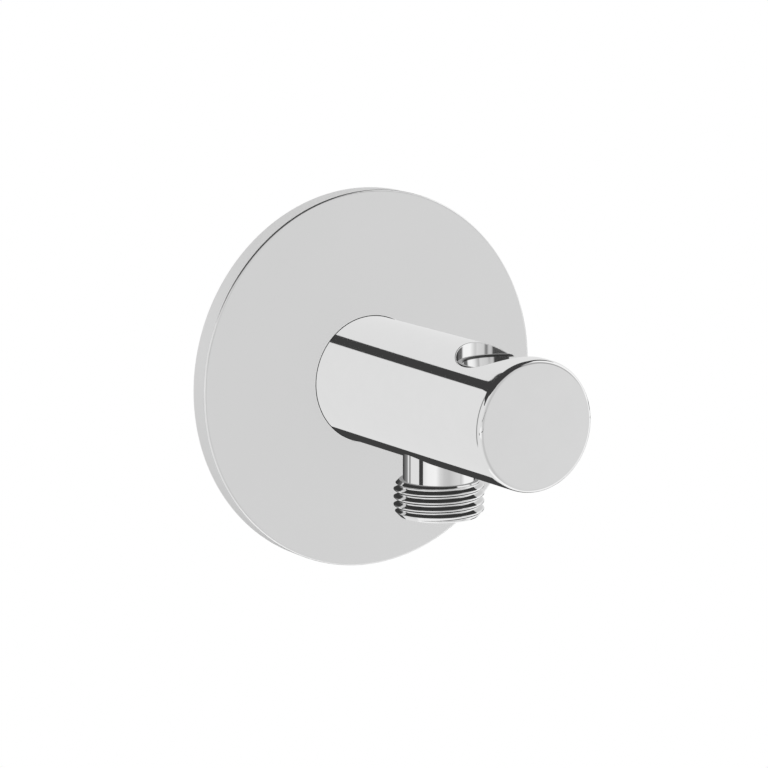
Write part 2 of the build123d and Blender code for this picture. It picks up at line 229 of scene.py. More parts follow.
class ThreadSizes(bpy.types.PropertyGroup):
    """Sizes of the pipe threads and of the pieces that carry them"""
    radius: length("Thread radius", "Radius over the crests of the pipe thread",
                   MOUNTS["outlet_thread"]["dims"]["r_mm"] * MM)
    pitch: length("Pitch", "Pitch of the pipe thread", 1.814 * MM)
    end_radius: length("Start radius", "Radius where the chamfers start, just below the roots", 9.2 * MM)
    lead_radius: length("Lead radius", "Radius of the outlet's lower end", 9.0775 * MM)
    crest: length("Crest", "Height of a crest on the outlet's +X side", -20.02 * MM)
    outlet_y: length("Outlet axis", "Place of the outlet's axis along Y", MOUNTS["outlet_thread"]["pos_m"][1])
    neck_radius: length("Neck radius", "Radius of the neck above the hose thread", 8.331 * MM)
    neck_end: length("Neck end", "Height of the lower end of the neck", -18.8 * MM)
    valve_radius: length("Valve bore", "Radius of the bore for the valve", 6.7 * MM)
    valve_floor: length("Valve floor", "Height of the ledge under the valve", -19.9 * MM)
    shoulder: length("Shoulder", "Height of the inner end of the key socket", -21.2 * MM)
    way_radius: length("Way radius", "Radius of the hole in the shoulder", 5.0 * MM)
    key: length("Key", "Half the width across flats of the key sockets", 6.0 * MM)
    spigot_radius: length("Spigot radius", "Radius of the spigot", 10.0 * MM)
    relief_width: length("Relief width", "Width of the thread's relief groove", 1.6 * MM)
    relief_radius: length("Relief radius", "Radius of that groove", 9.0775 * MM)
    spigot_chamfer: length("Spigot chamfer", "Chamfer on the end of the spigot", 0.8 * MM)
    ring_radius: length("Ring radius", "Radius of the floor of the ring grooves", 8.4 * MM)
    ring_width: length("Ring width", "Width of the ring grooves", 2.2 * MM)
    ring_edge: length("Ring edge", "From the spigot's end to the first ring", 2.6 * MM)
    ring_pitch: length("Ring pitch", "From ring to ring", 4.0 * MM)
    grub_groove: length("Grub groove", "Radius of the floor of the grub screw's groove", 9.0 * MM)
    grub_play: length("Grub play", "Play of the grub screw in that groove", 0.1 * MM)
    bore: length("Bore", "Radius of the bore through the wall nipple", 5.5 * MM)
    key_depth: length("Key depth", "Depth of its key socket", 10.0 * MM)
    grub_radius: length("Grub radius", "Radius over the crests of the grub screw", 2.5 * MM)
    grub_pitch: length("Grub pitch", "Pitch of the grub screw", 0.8 * MM)
    grub_start: length("Grub start", "Radius of the grub screw's ends", 1.75 * MM)
    grub_key: length("Grub key", "Half the width across flats of its key socket", 1.25 * MM)
    grub_key_depth: length("Grub key depth", "Depth of its key socket", 2.2 * MM)


class SpringSizes(bpy.types.PropertyGroup):
    """Sizes of the valve spring"""
    radius: length("Radius", "Radius of the middle of the wire", 2.175 * MM)
    wire: length("Wire", "Radius of the wire", 0.225 * MM)
    turns: bpy.props.FloatProperty(name="Turns", description="Number of turns", default=3.5, min=1)


class Finishes(bpy.types.PropertyGroup):
    """Colours and finishes"""
    chrome: colour("Chrome", "Colour of the plated pieces", (0.95, 0.95, 0.95))
    polish: share("Polish", "Roughness of the polished pieces", 0.03)
    satin: share("Satin", "Roughness of the rosette's face", 0.2)
    rim: share("Rim", "Roughness of the rosette's round side", 0.5)
    rim_metal: share("Rim metal", "How metallic the rosette's round side looks", 0.15)
    # Groove and Shoulder set the brightness of the painted shade on the hose thread's flanks and on its
    # shoulder
    groove: share("Groove", "Brightness of the plate on the flanks of the hose thread", 0.75)
    shoulder: share("Shoulder", "Brightness of the plate on the shoulder between neck and hose thread", 0.05)
    # Top edge sets the brightness of the painted shade on the sleeve's top edge
    top_edge: share("Top edge", "Brightness of the plate on the top edge of the sleeve", 0.06)
    brass: colour("Brass", "Colour of the bare brass", COLOURS["raw_brass"])
    steel: colour("Steel", "Colour of screw and spring", COLOURS["steel"])
    rubber: colour("Rubber", "Colour of the sealing rings", COLOURS["black_rubber"])
    foam: colour("Foam", "Colour of the soft ring", COLOURS["seal_foam"])
    fibre: colour("Fibre", "Colour of the gasket", COLOURS["fibre"])
    plastic: colour("Plastic", "Colour of the valve", COLOURS["valve_plastic"])


class StageSettings(bpy.types.PropertyGroup):
    """Camera, light and floor"""
    camera_place: point("Camera", "Place of the camera", (-437.303, -714.429, 151.595))
    camera_aim: point("Aim", "Point that the camera looks at", (4.8, -3.5, -2.0))
    lens: bpy.props.FloatProperty(name="Lens", description="Focal length", default=167.69, unit="CAMERA")
    floor_drop: length("Floor", "Depth of the floor below the fitting", 0.9)
    floor_radius: length("Floor radius", "Radius of the round floor", 0.5)
    ambient: share("Ambient", "Share of the light that comes from all round", 0.75)
    flag_level: share("Flag level", "Brightness of the dark flags that the metal mirrors", 0.05)


# Meshes with exact normals

class Axis:
    """The axis of a turned piece: gives a radius, an angle and a height their place in the part's frame."""

    def __init__(self, along, centre=(0, 0, 0)):
        self.along = along
        self.centre = np.array(centre, float)

    def direct(self, radial, turn, axial):
        """A direction from its radial and its axial share."""
        across, up = radial * np.cos(turn), radial * np.sin(turn)
        parts = (across, axial, up) if self.along == "Y" else (across, up, axial)
        return np.stack(np.broadcast_arrays(*parts), axis=-1)

    def place(self, radius, turn, height):
        """A point from its radius, angle and height."""
        return self.direct(radius, turn, height) + self.centre


class Shell:
    """The patches of one closed surface. Each corner keeps the exact normal of the form it lies on."""

    def __init__(self):
        self.points = []
        self.normals = []
        self.faces = []
        self.count = 0

    def add(self, points, normals, faces):
        """Takes in faces, turned so that they look along their normals."""
        faces = np.asarray(faces)
        first, second, third, last = (points[faces[:, i]] for i in (0, 1, 2, -1))
        if faces.shape[1] == 4:
            looks = np.cross(third - first, last - second)
        else:
            looks = np.cross(second - first, third - first)
        if (looks * normals[faces[:, 0]]).sum() < 0:
            faces = faces[:, ::-1]
        self.keep(points, normals, (faces + self.count).tolist())

    def keep(self, points, normals, faces):
        """Takes in points, their normals and finished faces."""
        self.points.append(points)
        self.normals.append(normals)
        self.faces.extend(faces)
        self.count += len(points)

    def grid(self, points, normals):
        """Four-sided faces over rows and columns of points."""
        rows, columns = points.shape[:2]
        index = np.arange(rows * columns).reshape(rows, columns)
        corners = (index[:-1, :-1], index[:-1, 1:], index[1:, 1:], index[1:, :-1])
        normals = np.broadcast_to(normals, points.shape)
        self.add(points.reshape(-1, 3), normals.reshape(-1, 3), np.stack(corners, axis=-1).reshape(-1, 4))

    def flat(self, points, normal):
        """One flat face."""
        steps = np.cross(points, np.roll(points, -1, axis=0)).sum(axis=0)
        if np.dot(steps, normal) < 0:
            points = points[::-1]
        face = [list(range(self.count, self.count + len(points)))]
        self.keep(points, np.tile(np.array(normal, float), (len(points), 1)), face)

    def mesh(self, mesh):
        """Takes in a smooth mesh with its own normals."""
        points = np.empty(len(mesh.vertices) * 3)
        normals = np.empty(len(mesh.vertices) * 3)
        mesh.vertices.foreach_get("co", points)
        mesh.vertex_normals.foreach_get("vector", normals)
        faces = [[corner + self.count for corner in face.vertices] for face in mesh.polygons]
        self.keep(points.reshape(-1, 3), normals.reshape(-1, 3), faces)

    def piece(self, name, material):
        """The closed mesh as an object."""
        mesh = bpy.data.meshes.new(name)
        mesh.from_pydata(np.concatenate(self.points).tolist(), [], self.faces)
        corners = np.empty(len(mesh.loops), dtype=np.int32)
        mesh.loops.foreach_get("vertex_index", corners)
        exact = mesh.attributes.new("exact_normal", "FLOAT_VECTOR", "CORNER")
        exact.data.foreach_set("vector", np.concatenate(self.normals)[corners].ravel())
        work = bmesh.new()
        work.from_mesh(mesh)
        bmesh.ops.remove_doubles(work, verts=work.verts, dist=WELD)
        loose = sum(1 for edge in work.edges if not edge.is_manifold)
        work.to_mesh(mesh)
        work.free()
        if loose:
            raise RuntimeError(f"{name} is not closed at {loose} edges")
        normals = np.empty(len(mesh.loops) * 3)
        mesh.attributes["exact_normal"].data.foreach_get("vector", normals)
        mesh.attributes.remove(mesh.attributes["exact_normal"])
        mesh.shade_smooth()
        mesh.normals_split_custom_set(normals.reshape(-1, 3).tolist())
        mesh.materials.append(material)
        return show(name, mesh)


def show(name, mesh):
    """A mesh as an object of the scene."""
    item = bpy.data.objects.new(name, mesh)
    bpy.context.scene.collection.objects.link(item)
    return item


def outline(corners, closed=False):
    """The strips of a turned outline, each as its number, points and normals.

    A corner is its radius, its height and the round on it. The metal lies to the left of the way along
    the corners. The round on a corner has the number -1.
    """
    knots = np.array([corner[:2] for corner in corners], float)
    rounds = [corner[2] for corner in corners]
    count = len(knots)
    spans = count if closed else count - 1
    ways = [knots[(i + 1) % count] - knots[i] for i in range(spans)]
    ways = [way / np.linalg.norm(way) for way in ways]
    sides = [np.array([way[1], -way[0]]) for way in ways]
    bends = [0.0] * count
    for i in range(count):
        if closed or 0 < i < count - 1:
            a, b = ways[i - 1], ways[i]
            bends[i] = math.atan2(a[0] * b[1] - a[1] * b[0], a @ b)
    trims = [rounds[i] * math.tan(abs(bends[i]) / 2) for i in range(count)]
    strips = []
    for i in range(spans):
        j = (i + 1) % count
        start = knots[i] + ways[i] * trims[i]
        end = knots[j] - ways[i] * trims[j]
        cuts = max(1, math.ceil(np.linalg.norm(end - start) / (2 * SPAN)))
        strip = start + np.linspace(0, 1, cuts + 1)[:, None] * (end - start)
        strips.append((i, strip, np.tile(sides[i], (cuts + 1, 1))))
        if trims[j]:
            turns = np.linspace(0, bends[j], ARC_STEPS + 1)
            side = sides[i]
            normals = np.stack([side[0] * np.cos(turns) - side[1] * np.sin(turns),
                                side[0] * np.sin(turns) + side[1] * np.cos(turns)], axis=-1)
            reach = math.copysign(rounds[j], bends[j])
            strips.append((-1, end - reach * side + reach * normals, normals))
    return strips


def turned(shell, axis, strips, left_out=()):
    """Turns the strips of an outline about an axis."""
    for number, points, normals in strips:
        if number not in left_out:
            places = axis.place(points[:, :1], TURN, points[:, 1:])
            shell.grid(places, axis.direct(normals[:, :1], TURN, normals[:, 1:]))


def inside(points, loop):
    """Which of the flat points lie in a closed loop."""
    x, y = points[:, :1], points[:, 1:]
    (ax, ay), (bx, by) = loop.T, np.roll(loop, -1, axis=0).T
    crosses = (ay > y) != (by > y)
    with np.errstate(divide="ignore", invalid="ignore"):
        ahead = x < (bx - ax) * (y - ay) / (by - ay) + ax
    return (crosses & ahead).sum(axis=1) % 2 == 1


def cut_round(shell, radius, low, high, loops, outward):
    """A round about the body's axis from low to high along Y, with openings. The loops are their edges."""
    axis = Axis("Y")
    lanes = np.linspace(0, FULL_TURN, AROUND + 1)
    levels = np.linspace(low, high, max(3, round((high - low) / SPAN)) + 1)
    middle = levels[1:-1]
    border = np.concatenate([
        np.stack([lanes, np.full_like(lanes, low)], axis=-1),
        np.stack([np.full_like(middle, FULL_TURN), middle], axis=-1),
        np.stack([lanes[::-1], np.full_like(lanes, high)], axis=-1),
        np.stack([np.zeros_like(middle), middle[::-1]], axis=-1),
    ])
    inner = np.stack(np.meshgrid(lanes[1:-1], middle), axis=-1).reshape(-1, 2)
    unrolled = np.array([radius, 1.0])
    flats = [border * unrolled]
    solids = [axis.place(radius, math.pi + border[:, 0], border[:, 1])]
    edges, holes = [], []
    margin = 0.25 * SPAN
    for loop in loops:
        turns = (np.arctan2(loop[:, 2], loop[:, 0]) - math.pi) % FULL_TURN
        holes.append(np.stack([turns * radius, loop[:, 1]], axis=-1))
        gaps = np.linalg.norm((inner * unrolled)[:, None] - holes[-1], axis=-1).min(axis=1)
        inner = inner[(gaps > margin) & ~inside(inner * unrolled, holes[-1])]
    flats += holes + [inner * unrolled]
    solids += list(loops) + [axis.place(radius, math.pi + inner[:, 0], inner[:, 1])]
    start = 0
    for ring in flats[:-1]:
        edges += [(start + i, start + (i + 1) % len(ring)) for i in range(len(ring))]
        start += len(ring)
    flats, solids = np.concatenate(flats), np.concatenate(solids)
    found = delaunay_2d_cdt([Vector(point) for point in flats], edges, [], 0, 1e-8)
    faces = np.array(found[2])
    source = np.array([ids[0] for ids in found[3]])
    centres = np.array([tuple(point) for point in found[0]])[faces].mean(axis=1)
    for hole in holes:
        out = inside(centres, hole)
        faces, centres = faces[~out], centres[~out]
    points = solids[source]
    normals = points * (1, 0, 1) / radius * (1 if outward else -1)
    shell.add(points, normals, faces)


def rolled_rim(shell, radius, size, centres, walls):
    """The round between the outside of the body and the wall of an opening, with the ball's centres given.

    The walls are the directions into the metal. Returns the round's edge on the outside and on the wall.
    """
    outward = centres * (1, 0, 1) / (radius - size)
    bend = np.arccos((-outward * walls).sum(axis=1, keepdims=True))
    shares = np.linspace(0, 1, RIM_STEPS + 1)[:, None, None]
    normals = (np.sin((1 - shares) * bend) * outward - np.sin(shares * bend) * walls) / np.sin(bend)
    points = centres + size * normals
    points[0] = outward * radius + centres * (0, 1, 0)
    shell.grid(*(np.concatenate([rows, rows[:, :1]], axis=1) for rows in (points, normals)))
    return points[0], points[-1]


def upright_wall(shell, edge, walls, end, rows=10):
    """An upright wall from an edge to the height end. Returns its points."""
    shares = np.linspace(0, 1, rows + 1)[:, None]
    points = np.repeat(edge[None], rows + 1, axis=0)
    points[..., 2] = edge[:, 2] + shares * (end - edge[:, 2])
    shell.grid(points, -walls)
    return points


def lower_hole(shell, radius, rim, hole, y, end):
    """A hole drilled up into the body, to a height below the axis or to a round of that radius about it.

    Returns its edge on the outside and its edge inside.
    """
    turns = np.linspace(0, FULL_TURN, AROUND // 2 + 1)[:-1]
    walls = np.stack([np.cos(turns), np.sin(turns), 0 * turns], axis=-1)
    centres = (hole + rim) * walls + (0, y, 0)
    centres[:, 2] = -np.sqrt((radius - rim) ** 2 - centres[:, 0] ** 2)
    outside, edge = rolled_rim(shell, radius, rim, centres, walls)
    loop, sides = np.concatenate([edge, edge[:1]]), np.concatenate([walls, walls[:1]])
    if end > 0:
        end = -np.sqrt(end ** 2 - loop[:, 0] ** 2)
    return outside, upright_wall(shell, loop, sides, end)[-1]


def hexagon(half, turns):
    """The radius of a hexagon of that half width, with corners at 0 and every 60 degrees."""
    return half / np.cos((turns % (math.pi / 3)) - math.pi / 6)


def key_socket(shell, axis, half, mouth, floor, mouth_radius, floor_radius):
    """A hexagon socket between a round edge in the plane of its mouth and a round edge in its floor."""
    into = math.copysign(1.0, floor - mouth)
    sides = hexagon(half, TURN)
    for level, radius in ((mouth, mouth_radius), (floor, floor_radius)):
        ring = np.stack([np.full_like(sides, radius), sides])
        shell.grid(axis.place(ring, TURN, level), axis.direct(0.0, TURN, -into))
    step = AROUND // 6
    for i in range(6):
        turns = TURN[i * step:(i + 1) * step + 1]
        middle = turns[step // 2]
        points = axis.place(hexagon(half, turns), turns, np.array([[mouth], [floor]]))
        shell.grid(points, axis.direct(-1.0, middle, 0.0))


# Node trees

class Tree:
    """A node tree and its arithmetic. A value is a number or another node's output."""

    def __init__(self, tree):
        self.tree = tree

    def feed(self, socket, value):
        """Gives a socket its value."""
        if isinstance(value, bpy.types.NodeSocket):
            self.tree.links.new(value, socket)
        else:
            socket.default_value = value

    def node(self, kind, settings=None, **values):
        """A node with its settings, and with its inputs given by name."""
        node = self.tree.nodes.new(kind)
        for key, value in (settings or {}).items():
            setattr(node, key, value)
        for key, value in values.items():
            self.feed(node.inputs[key.replace("_", " ")], value)
        return node

    def step(self, operation, *values):
        """One step of arithmetic."""
        node = self.node("ShaderNodeMath", {"operation": operation})
        for socket, value in zip(node.inputs, values):
            self.feed(socket, value)
        return node.outputs[0]

    def chain(self, operation, first, *others):
        """The values, joined by one operation from the first to the last."""
        for value in others:
            first = self.step(operation, first, value)
        return first

    def plus(self, *values):
        """The sum of the values."""
        return self.chain("ADD", *values)

    def times(self, *values):
        """The product of the values."""
        return self.chain("MULTIPLY", *values)

    def largest(self, *values):
        """The largest of the values."""
        return self.chain("MAXIMUM", *values)

    def minus(self, first, second):
        """The first value less the second."""
        return self.step("SUBTRACT", first, second)

    def parts(self, vector):
        """The coordinates of a vector."""
        return self.node("ShaderNodeSeparateXYZ", Vector=vector).outputs

    def slope(self, value, start, end, low=0.0, high=1.0):
        """Goes evenly from low to high as a value goes from start to end."""
        limits = {"From_Min": start, "From_Max": end, "To_Min": low, "To_Max": high}
        return self.node("ShaderNodeMapRange", Value=value, **limits).outputs[0]


def new_tree(name, numbers, counts):
    """An empty geometry tree with named inputs, and its input and output sockets."""
    group = bpy.data.node_groups.new(name, "GeometryNodeTree")
    labels = {"NodeSocketFloat": numbers, "NodeSocketInt": counts, "NodeSocketMaterial": ("Material",)}
    for kind, names in labels.items():
        for label in names:
            group.interface.new_socket(label, in_out="INPUT", socket_type=kind)
    group.interface.new_socket("Geometry", in_out="OUTPUT", socket_type="NodeSocketGeometry")
    return Tree(group), group.nodes.new("NodeGroupInput").outputs, group.nodes.new("NodeGroupOutput").inputs


def end_tree(tree, mesh, given, made):
    """Ends a geometry tree with a plain smooth mesh in the given material. Returns the node group."""
    smooth = tree.node("GeometryNodeSetShadeSmooth", Geometry=mesh)
    real = tree.node("GeometryNodeRealizeInstances", Geometry=smooth.outputs[0])
    dressed = tree.node("GeometryNodeSetMaterial", Geometry=real.outputs[0], Material=given["Material"])
    tree.feed(made[0], dressed.outputs[0])
    return tree.tree


def grown(group, values):
    """The plain mesh that a geometry tree makes from the named values."""
    seed = show(group.name, bpy.data.meshes.new(group.name))
    maker = seed.modifiers.new("Nodes", "NODES")
    maker.node_group = group
    for item in group.interface.items_tree:
        if item.in_out == "INPUT":
            maker[item.identifier] = values[item.name]
    seed.update_tag()
    bpy.context.view_layer.update()
    result = bpy.data.meshes.new_from_object(seed.evaluated_get(bpy.context.evaluated_depsgraph_get()))
    bpy.data.objects.remove(seed)
    return result


def thread_tree():
    """The tree of a right-hand screw thread that hangs down from the origin, with a chamfer at both ends."""
    numbers = ("Radius", "Pitch", "Sharp", "Depth", "Length", "Top radius", "Bottom radius", "Crest")
    tree, given, made = new_tree("Screw thread", numbers, ("Around", "Rows"))
    pitch, sharp, depth = given["Pitch"], given["Sharp"], given["Depth"]
    sheet = tree.node("GeometryNodeMeshGrid", Size_X=1.0, Size_Y=1.0,
                      Vertices_X=tree.plus(given["Around"], 1), Vertices_Y=tree.plus(given["Rows"], 1))
    spot = tree.parts(tree.node("GeometryNodeInputPosition").outputs[0])
    turn = tree.plus(spot["X"], 0.5)
    height = tree.times(tree.minus(spot["Y"], 0.5), given["Length"])
    # The crest climbs by one pitch in a turn
    climb = tree.step("DIVIDE", tree.minus(height, given["Crest"]), pitch)
    phase = tree.step("FRACT", tree.minus(climb, turn))
    wave = tree.minus(tree.step("ABSOLUTE", tree.minus(tree.times(phase, 2.0), 1.0)), 0.5)
    flank = tree.times(wave, tree.times(pitch, sharp))
    half = tree.times(pitch, depth, 0.5)
    blend = tree.times(pitch, tree.minus(sharp, depth), 0.5)
    crest = tree.step("SMOOTH_MIN", flank, half, blend)
    root = tree.step("SMOOTH_MAX", crest, tree.times(half, -1.0), blend)
    radius = tree.plus(tree.minus(given["Radius"], half), root)
    # The thread runs out softly into the chamfers
    top = tree.minus(given["Top radius"], height)
    bottom = tree.plus(given["Bottom radius"], tree.plus(height, given["Length"]))
    soft = tree.times(pitch, RUN_OUT)
    radius = tree.step("SMOOTH_MIN", tree.step("SMOOTH_MIN", radius, top, soft), bottom, soft)
    around = tree.times(turn, FULL_TURN)
    across, along = (tree.times(radius, tree.step(curve, around)) for curve in ("COSINE", "SINE"))
    place = tree.node("ShaderNodeCombineXYZ", X=across, Y=along, Z=height)
    bent = tree.node("GeometryNodeSetPosition", Geometry=sheet.outputs["Mesh"], Position=place.outputs[0])
    welded = tree.node("GeometryNodeMergeByDistance", Geometry=bent.outputs[0], Distance=WELD)
    return end_tree(tree, welded.outputs[0], given, made)


def thread(values, rows, material):
    """A thread's mesh. The values are its radius, pitch, form, length, end radii and crest."""
    group = bpy.data.node_groups.get("Screw thread") or thread_tree()
    return grown(group, {**values, "Around": AROUND, "Rows": rows, "Material": material})


def coil_tree():
    """The tree of a coil spring of round wire that stands on the origin."""
    numbers = ("Radius", "Wire", "Height", "Turns")
    tree, given, made = new_tree("Coil spring", numbers, ("Around", "Wire sides"))
    path = tree.node("GeometryNodeCurveSpiral", Resolution=given["Around"], Rotations=given["Turns"],
                     Start_Radius=given["Radius"], End_Radius=given["Radius"], Height=given["Height"])
    section = tree.node("GeometryNodeCurvePrimitiveCircle", Resolution=given["Wire sides"],
                        Radius=given["Wire"])
    wire = tree.node("GeometryNodeCurveToMesh", Curve=path.outputs[0], Profile_Curve=section.outputs[0],
                     Fill_Caps=True)
    return end_tree(tree, wire.outputs[0], given, made)


# Finishes

def as_light(rgb):
    """A colour as written in a picture, as light."""
    return [part / 12.92 if part <= 0.04045 else ((part + 0.055) / 1.055) ** 2.4 for part in rgb]


class Finish(Tree):
    """A new material, with its shader's inputs and the object coordinates of the piece."""

    def __init__(self, name, metallic, roughness):
        self.material = bpy.data.materials.new(name)
        self.material.use_nodes = True
        super().__init__(self.material.node_tree)
        self.shader = self.tree.nodes["Principled BSDF"].inputs
        self.feed(self.shader["Metallic"], metallic)
        self.rough(roughness)
        self.spot = self.node("ShaderNodeTexCoord").outputs["Object"]

    def noise(self, scale, detail, stretch=(1.0, 1.0, 1.0)):
        """Grey noise over the piece."""
        where = self.node("ShaderNodeMapping", Vector=self.spot, Scale=stretch).outputs[0]
        return self.node("ShaderNodeTexNoise", Vector=where, Scale=scale, Detail=detail).outputs["Fac"]

    def ramp(self, value, low, high):
        """A value between 0 and 1, spread from low to high."""
        return self.slope(value, 0.0, 1.0, low, high)

    def tint(self, value, rgb, dark, light):
        """The colour, shaded from dark to light by a value between 0 and 1."""
        mix = self.node("ShaderNodeMix", {"data_type": "RGBA"}, Factor=value)
        for socket, level in ((mix.inputs[6], dark), (mix.inputs[7], light)):
            socket.default_value = (*(min(1.0, part * level) for part in as_light(rgb)), 1.0)
        self.feed(self.shader["Base Color"], mix.outputs[2])

    def rough(self, value):
        """Sets the roughness."""
        self.feed(self.shader["Roughness"], value)

    def bump(self, value, depth, strength):
        """Raises the surface by a value, up to a depth in metres."""
        node = self.node("ShaderNodeBump", Height=value, Distance=depth, Strength=strength)
        self.feed(self.shader["Normal"], node.outputs[0])

    def radius(self, first, second):
        """The distance from an axis, from the two coordinates across it."""
        return self.step("SQRT", self.plus(self.times(first, first), self.times(second, second)))

    def over(self, value, limit):
        """1 where a value is over a limit."""
        return self.step("GREATER_THAN", value, limit)

    def polish(self, looks):
        """The roughness of mirror plate, with a very fine cloud."""
        return self.ramp(self.noise(*PLATE_GRAIN), 0.6 * looks.polish, 1.4 * looks.polish)

    def paint_shade_and_dull(self, looks, shade_share, darkest, cloud, dulling):
        """Mirror plate that gets dull, and dark with painted shade, by a value between 0 and 1, with a share
        of cloud.
        """
        shade = self.plus(self.times(shade_share, 1.0 - cloud), self.times(self.noise(*PLATE_CLOUD), cloud))
        self.tint(shade, looks.chrome, 1.0, darkest)
        self.rough(self.plus(self.times(shade_share, dulling), self.polish(looks)))


def polished_chrome(looks):
    """Mirror plate: a very fine cloud in colour and polish."""
    finish = Finish("Polished chrome", 1.0, looks.polish)
    finish.tint(finish.noise(*PLATE_CLOUD), looks.chrome, 0.985, 1.015)
    finish.rough(finish.polish(looks))
    return finish.material


def satin_chrome(looks):
    """Plate from the lathe: fine rings about the axis, softer than the body, with a matt light side."""
    finish = Finish("Satin chrome", 1.0, looks.satin)
    spot = finish.parts(finish.spot)
    reach = finish.radius(spot["X"], spot["Z"])
    ring = finish.node("ShaderNodeCombineXYZ", X=reach, Y=finish.times(spot["Y"], 0.2)).outputs[0]
    rings = finish.node("ShaderNodeTexNoise", Vector=ring, Scale=5200.0, Detail=2.0).outputs["Fac"]
    plate = bpy.context.scene.elbow_plate
    side = finish.times(finish.over(spot["Y"], plate.front + plate.edge),
                        finish.over(reach, plate.radius - plate.edge))
    cloud = finish.times(finish.noise(40.0, 3.0), SATIN_CLOUD)
    shade = finish.plus(cloud, finish.times(side, 1.0 - SATIN_CLOUD))
    finish.tint(shade, looks.chrome, 1.015, 0.84)
    finish.rough(finish.plus(finish.ramp(rings, 0.85 * looks.satin, 1.15 * looks.satin),
                             finish.times(side, looks.rim - looks.satin)))
    finish.feed(finish.shader["Metallic"], finish.ramp(side, 1.0, looks.rim_metal))
    return finish.material


def edged_chrome(looks):
    """Mirror plate that is dull, and dark with painted shade, on the top edge of the sleeve."""
    finish = Finish("Edged chrome", 1.0, looks.polish)
    hold = bpy.context.scene.elbow_holder
    # The edge with its painted shade ends two of its rounds below the top
    start, end = (hold.sleeve_top - count * hold.sleeve_edge for count in (2.4, 2.0))
    edge = finish.slope(finish.parts(finish.spot)["Z"], start, end)
    finish.paint_shade_and_dull(looks, edge, looks.top_edge, cloud=0.04, dulling=0.1)
    return finish.material


def threaded_chrome(looks):
    """Mirror plate with painted shade: a little darker on the thread's flanks, and dark on the shoulder above
    them.
    """
    finish = Finish("Threaded chrome", 1.0, looks.polish)
    threads = bpy.context.scene.elbow_threads
    spot = finish.parts(finish.spot)
    height, neck_end = spot["Z"], threads.neck_end
    reach = finish.radius(spot["X"], finish.minus(spot["Y"], threads.outlet_y))
    # The painted shade of the flanks, as shares of the depth below the crests, and then between the ends of
    # the thread
    crest, root = ([threads.radius - part * PIPE_FORM["Depth"] * threads.pitch for part in parts]
                   for parts in ((0.12, 0.35), (0.97, 0.85)))
    groove = finish.times(
        finish.slope(reach, *crest), finish.slope(reach, *root),
        finish.slope(height, neck_end, neck_end - 0.2 * MM),
        finish.slope(height, OUTLET_LOW[2] + 0.8 * MM, OUTLET_LOW[2] + 1.4 * MM),
        finish.over(reach, threads.neck_radius + 0.5 * MM))
    # The painted shade of the shoulder, a thin band at the neck's end
    shoulder = finish.times(
        finish.slope(height, neck_end - 0.06 * MM, neck_end - 0.02 * MM),
        finish.slope(height, neck_end + 0.06 * MM, neck_end + 0.02 * MM),
        finish.over(reach, threads.neck_radius + 0.02 * MM))
    groove = finish.times(groove, (1.0 - looks.groove) / (1.0 - looks.shoulder))
    finish.paint_shade_and_dull(looks, finish.largest(groove, shoulder), looks.shoulder, cloud=0.02, dulling=0.098)
    return finish.material


def cell_foam(looks):
    """Closed-cell foam: small round cells cut open at the surface."""
    finish = Finish("Cell foam", 0.0, 0.9)
    cells = finish.node("ShaderNodeTexVoronoi", Vector=finish.spot, Scale=1900.0).outputs["Distance"]
    finish.tint(cells, looks.foam, 1.35, 0.6)
    finish.rough(finish.ramp(finish.noise(900.0, 3.0), 0.82, 0.96))
    finish.bump(cells, 0.12 * MM, 0.7)
    return finish.material


# Finishes with a plain grain. The grain and the cloud are noises, given by scale, detail and stretch. The
# cloud shades the colour. The grain sets the relief, by depth and strength, and the roughness, which is given
# as its plain value, its lowest and its highest
GRAINS = {
    # Bare brass from the lathe, with tool lines along the axis
    "Turned brass": {
        "colour": "brass", "metallic": 1.0, "roughness": (0.3, 0.2, 0.42), "relief": (0.02 * MM, 0.35),
        "grain": (1800.0, 2.0, (0.04, 1.0, 0.04)), "cloud": (130.0, 5.0), "shades": (0.8, 1.12),
    },
    # Stainless wire and screw stock, with fine scratches
    "Drawn steel": {
        "colour": "steel", "metallic": 1.0, "roughness": (0.32, 0.22, 0.42), "relief": (0.01 * MM, 0.4),
        "grain": (2600.0, 4.0, (1.0, 1.0, 0.15)), "cloud": (700.0, 4.0), "shades": (0.85, 1.15),
    },
    # Matt black rubber with the grain of its mould
    "Moulded rubber": {
        "colour": "rubber", "metallic": 0.0, "roughness": (0.62, 0.52, 0.72), "relief": (0.02 * MM, 0.5),
        "grain": (3200.0, 3.0), "cloud": (240.0, 4.0), "shades": (0.8, 1.6),
    },
    # Red gasket board with short fibres
    "Pressed fibre": {
        "colour": "fibre", "metallic": 0.0, "roughness": (0.85, 0.75, 0.92), "relief": (0.05 * MM, 0.5),
        "grain": (900.0, 6.0, (1.0, 0.25, 1.0)), "cloud": (900.0, 6.0, (1.0, 0.25, 1.0)),
        "shades": (0.6, 1.35),
    },
    # White valve plastic with a fine spark-eroded grain
    "Moulded plastic": {
        "colour": "plastic", "metallic": 0.0, "roughness": (0.45, 0.38, 0.54), "relief": (0.015 * MM, 0.4),
        "grain": (2400.0, 3.0), "cloud": (160.0, 3.0), "shades": (0.95, 1.03),
    },
}
FINISHES = {
    "Polished chrome": polished_chrome,
    "Satin chrome": satin_chrome,
    "Edged chrome": edged_chrome,
    "Threaded chrome": threaded_chrome,
    "Cell foam": cell_foam,
}


def grained(name, looks):
    """A finish with a plain grain."""
    values = GRAINS[name]
    plain, *roughness = values["roughness"]
    finish = Finish(name, values["metallic"], plain)
    grain = finish.noise(*values["grain"])
    finish.tint(finish.noise(*values["cloud"]), getattr(looks, values["colour"]), *values["shades"])
    finish.rough(finish.ramp(grain, *roughness))
    finish.bump(grain, *values["relief"])
    return finish.material


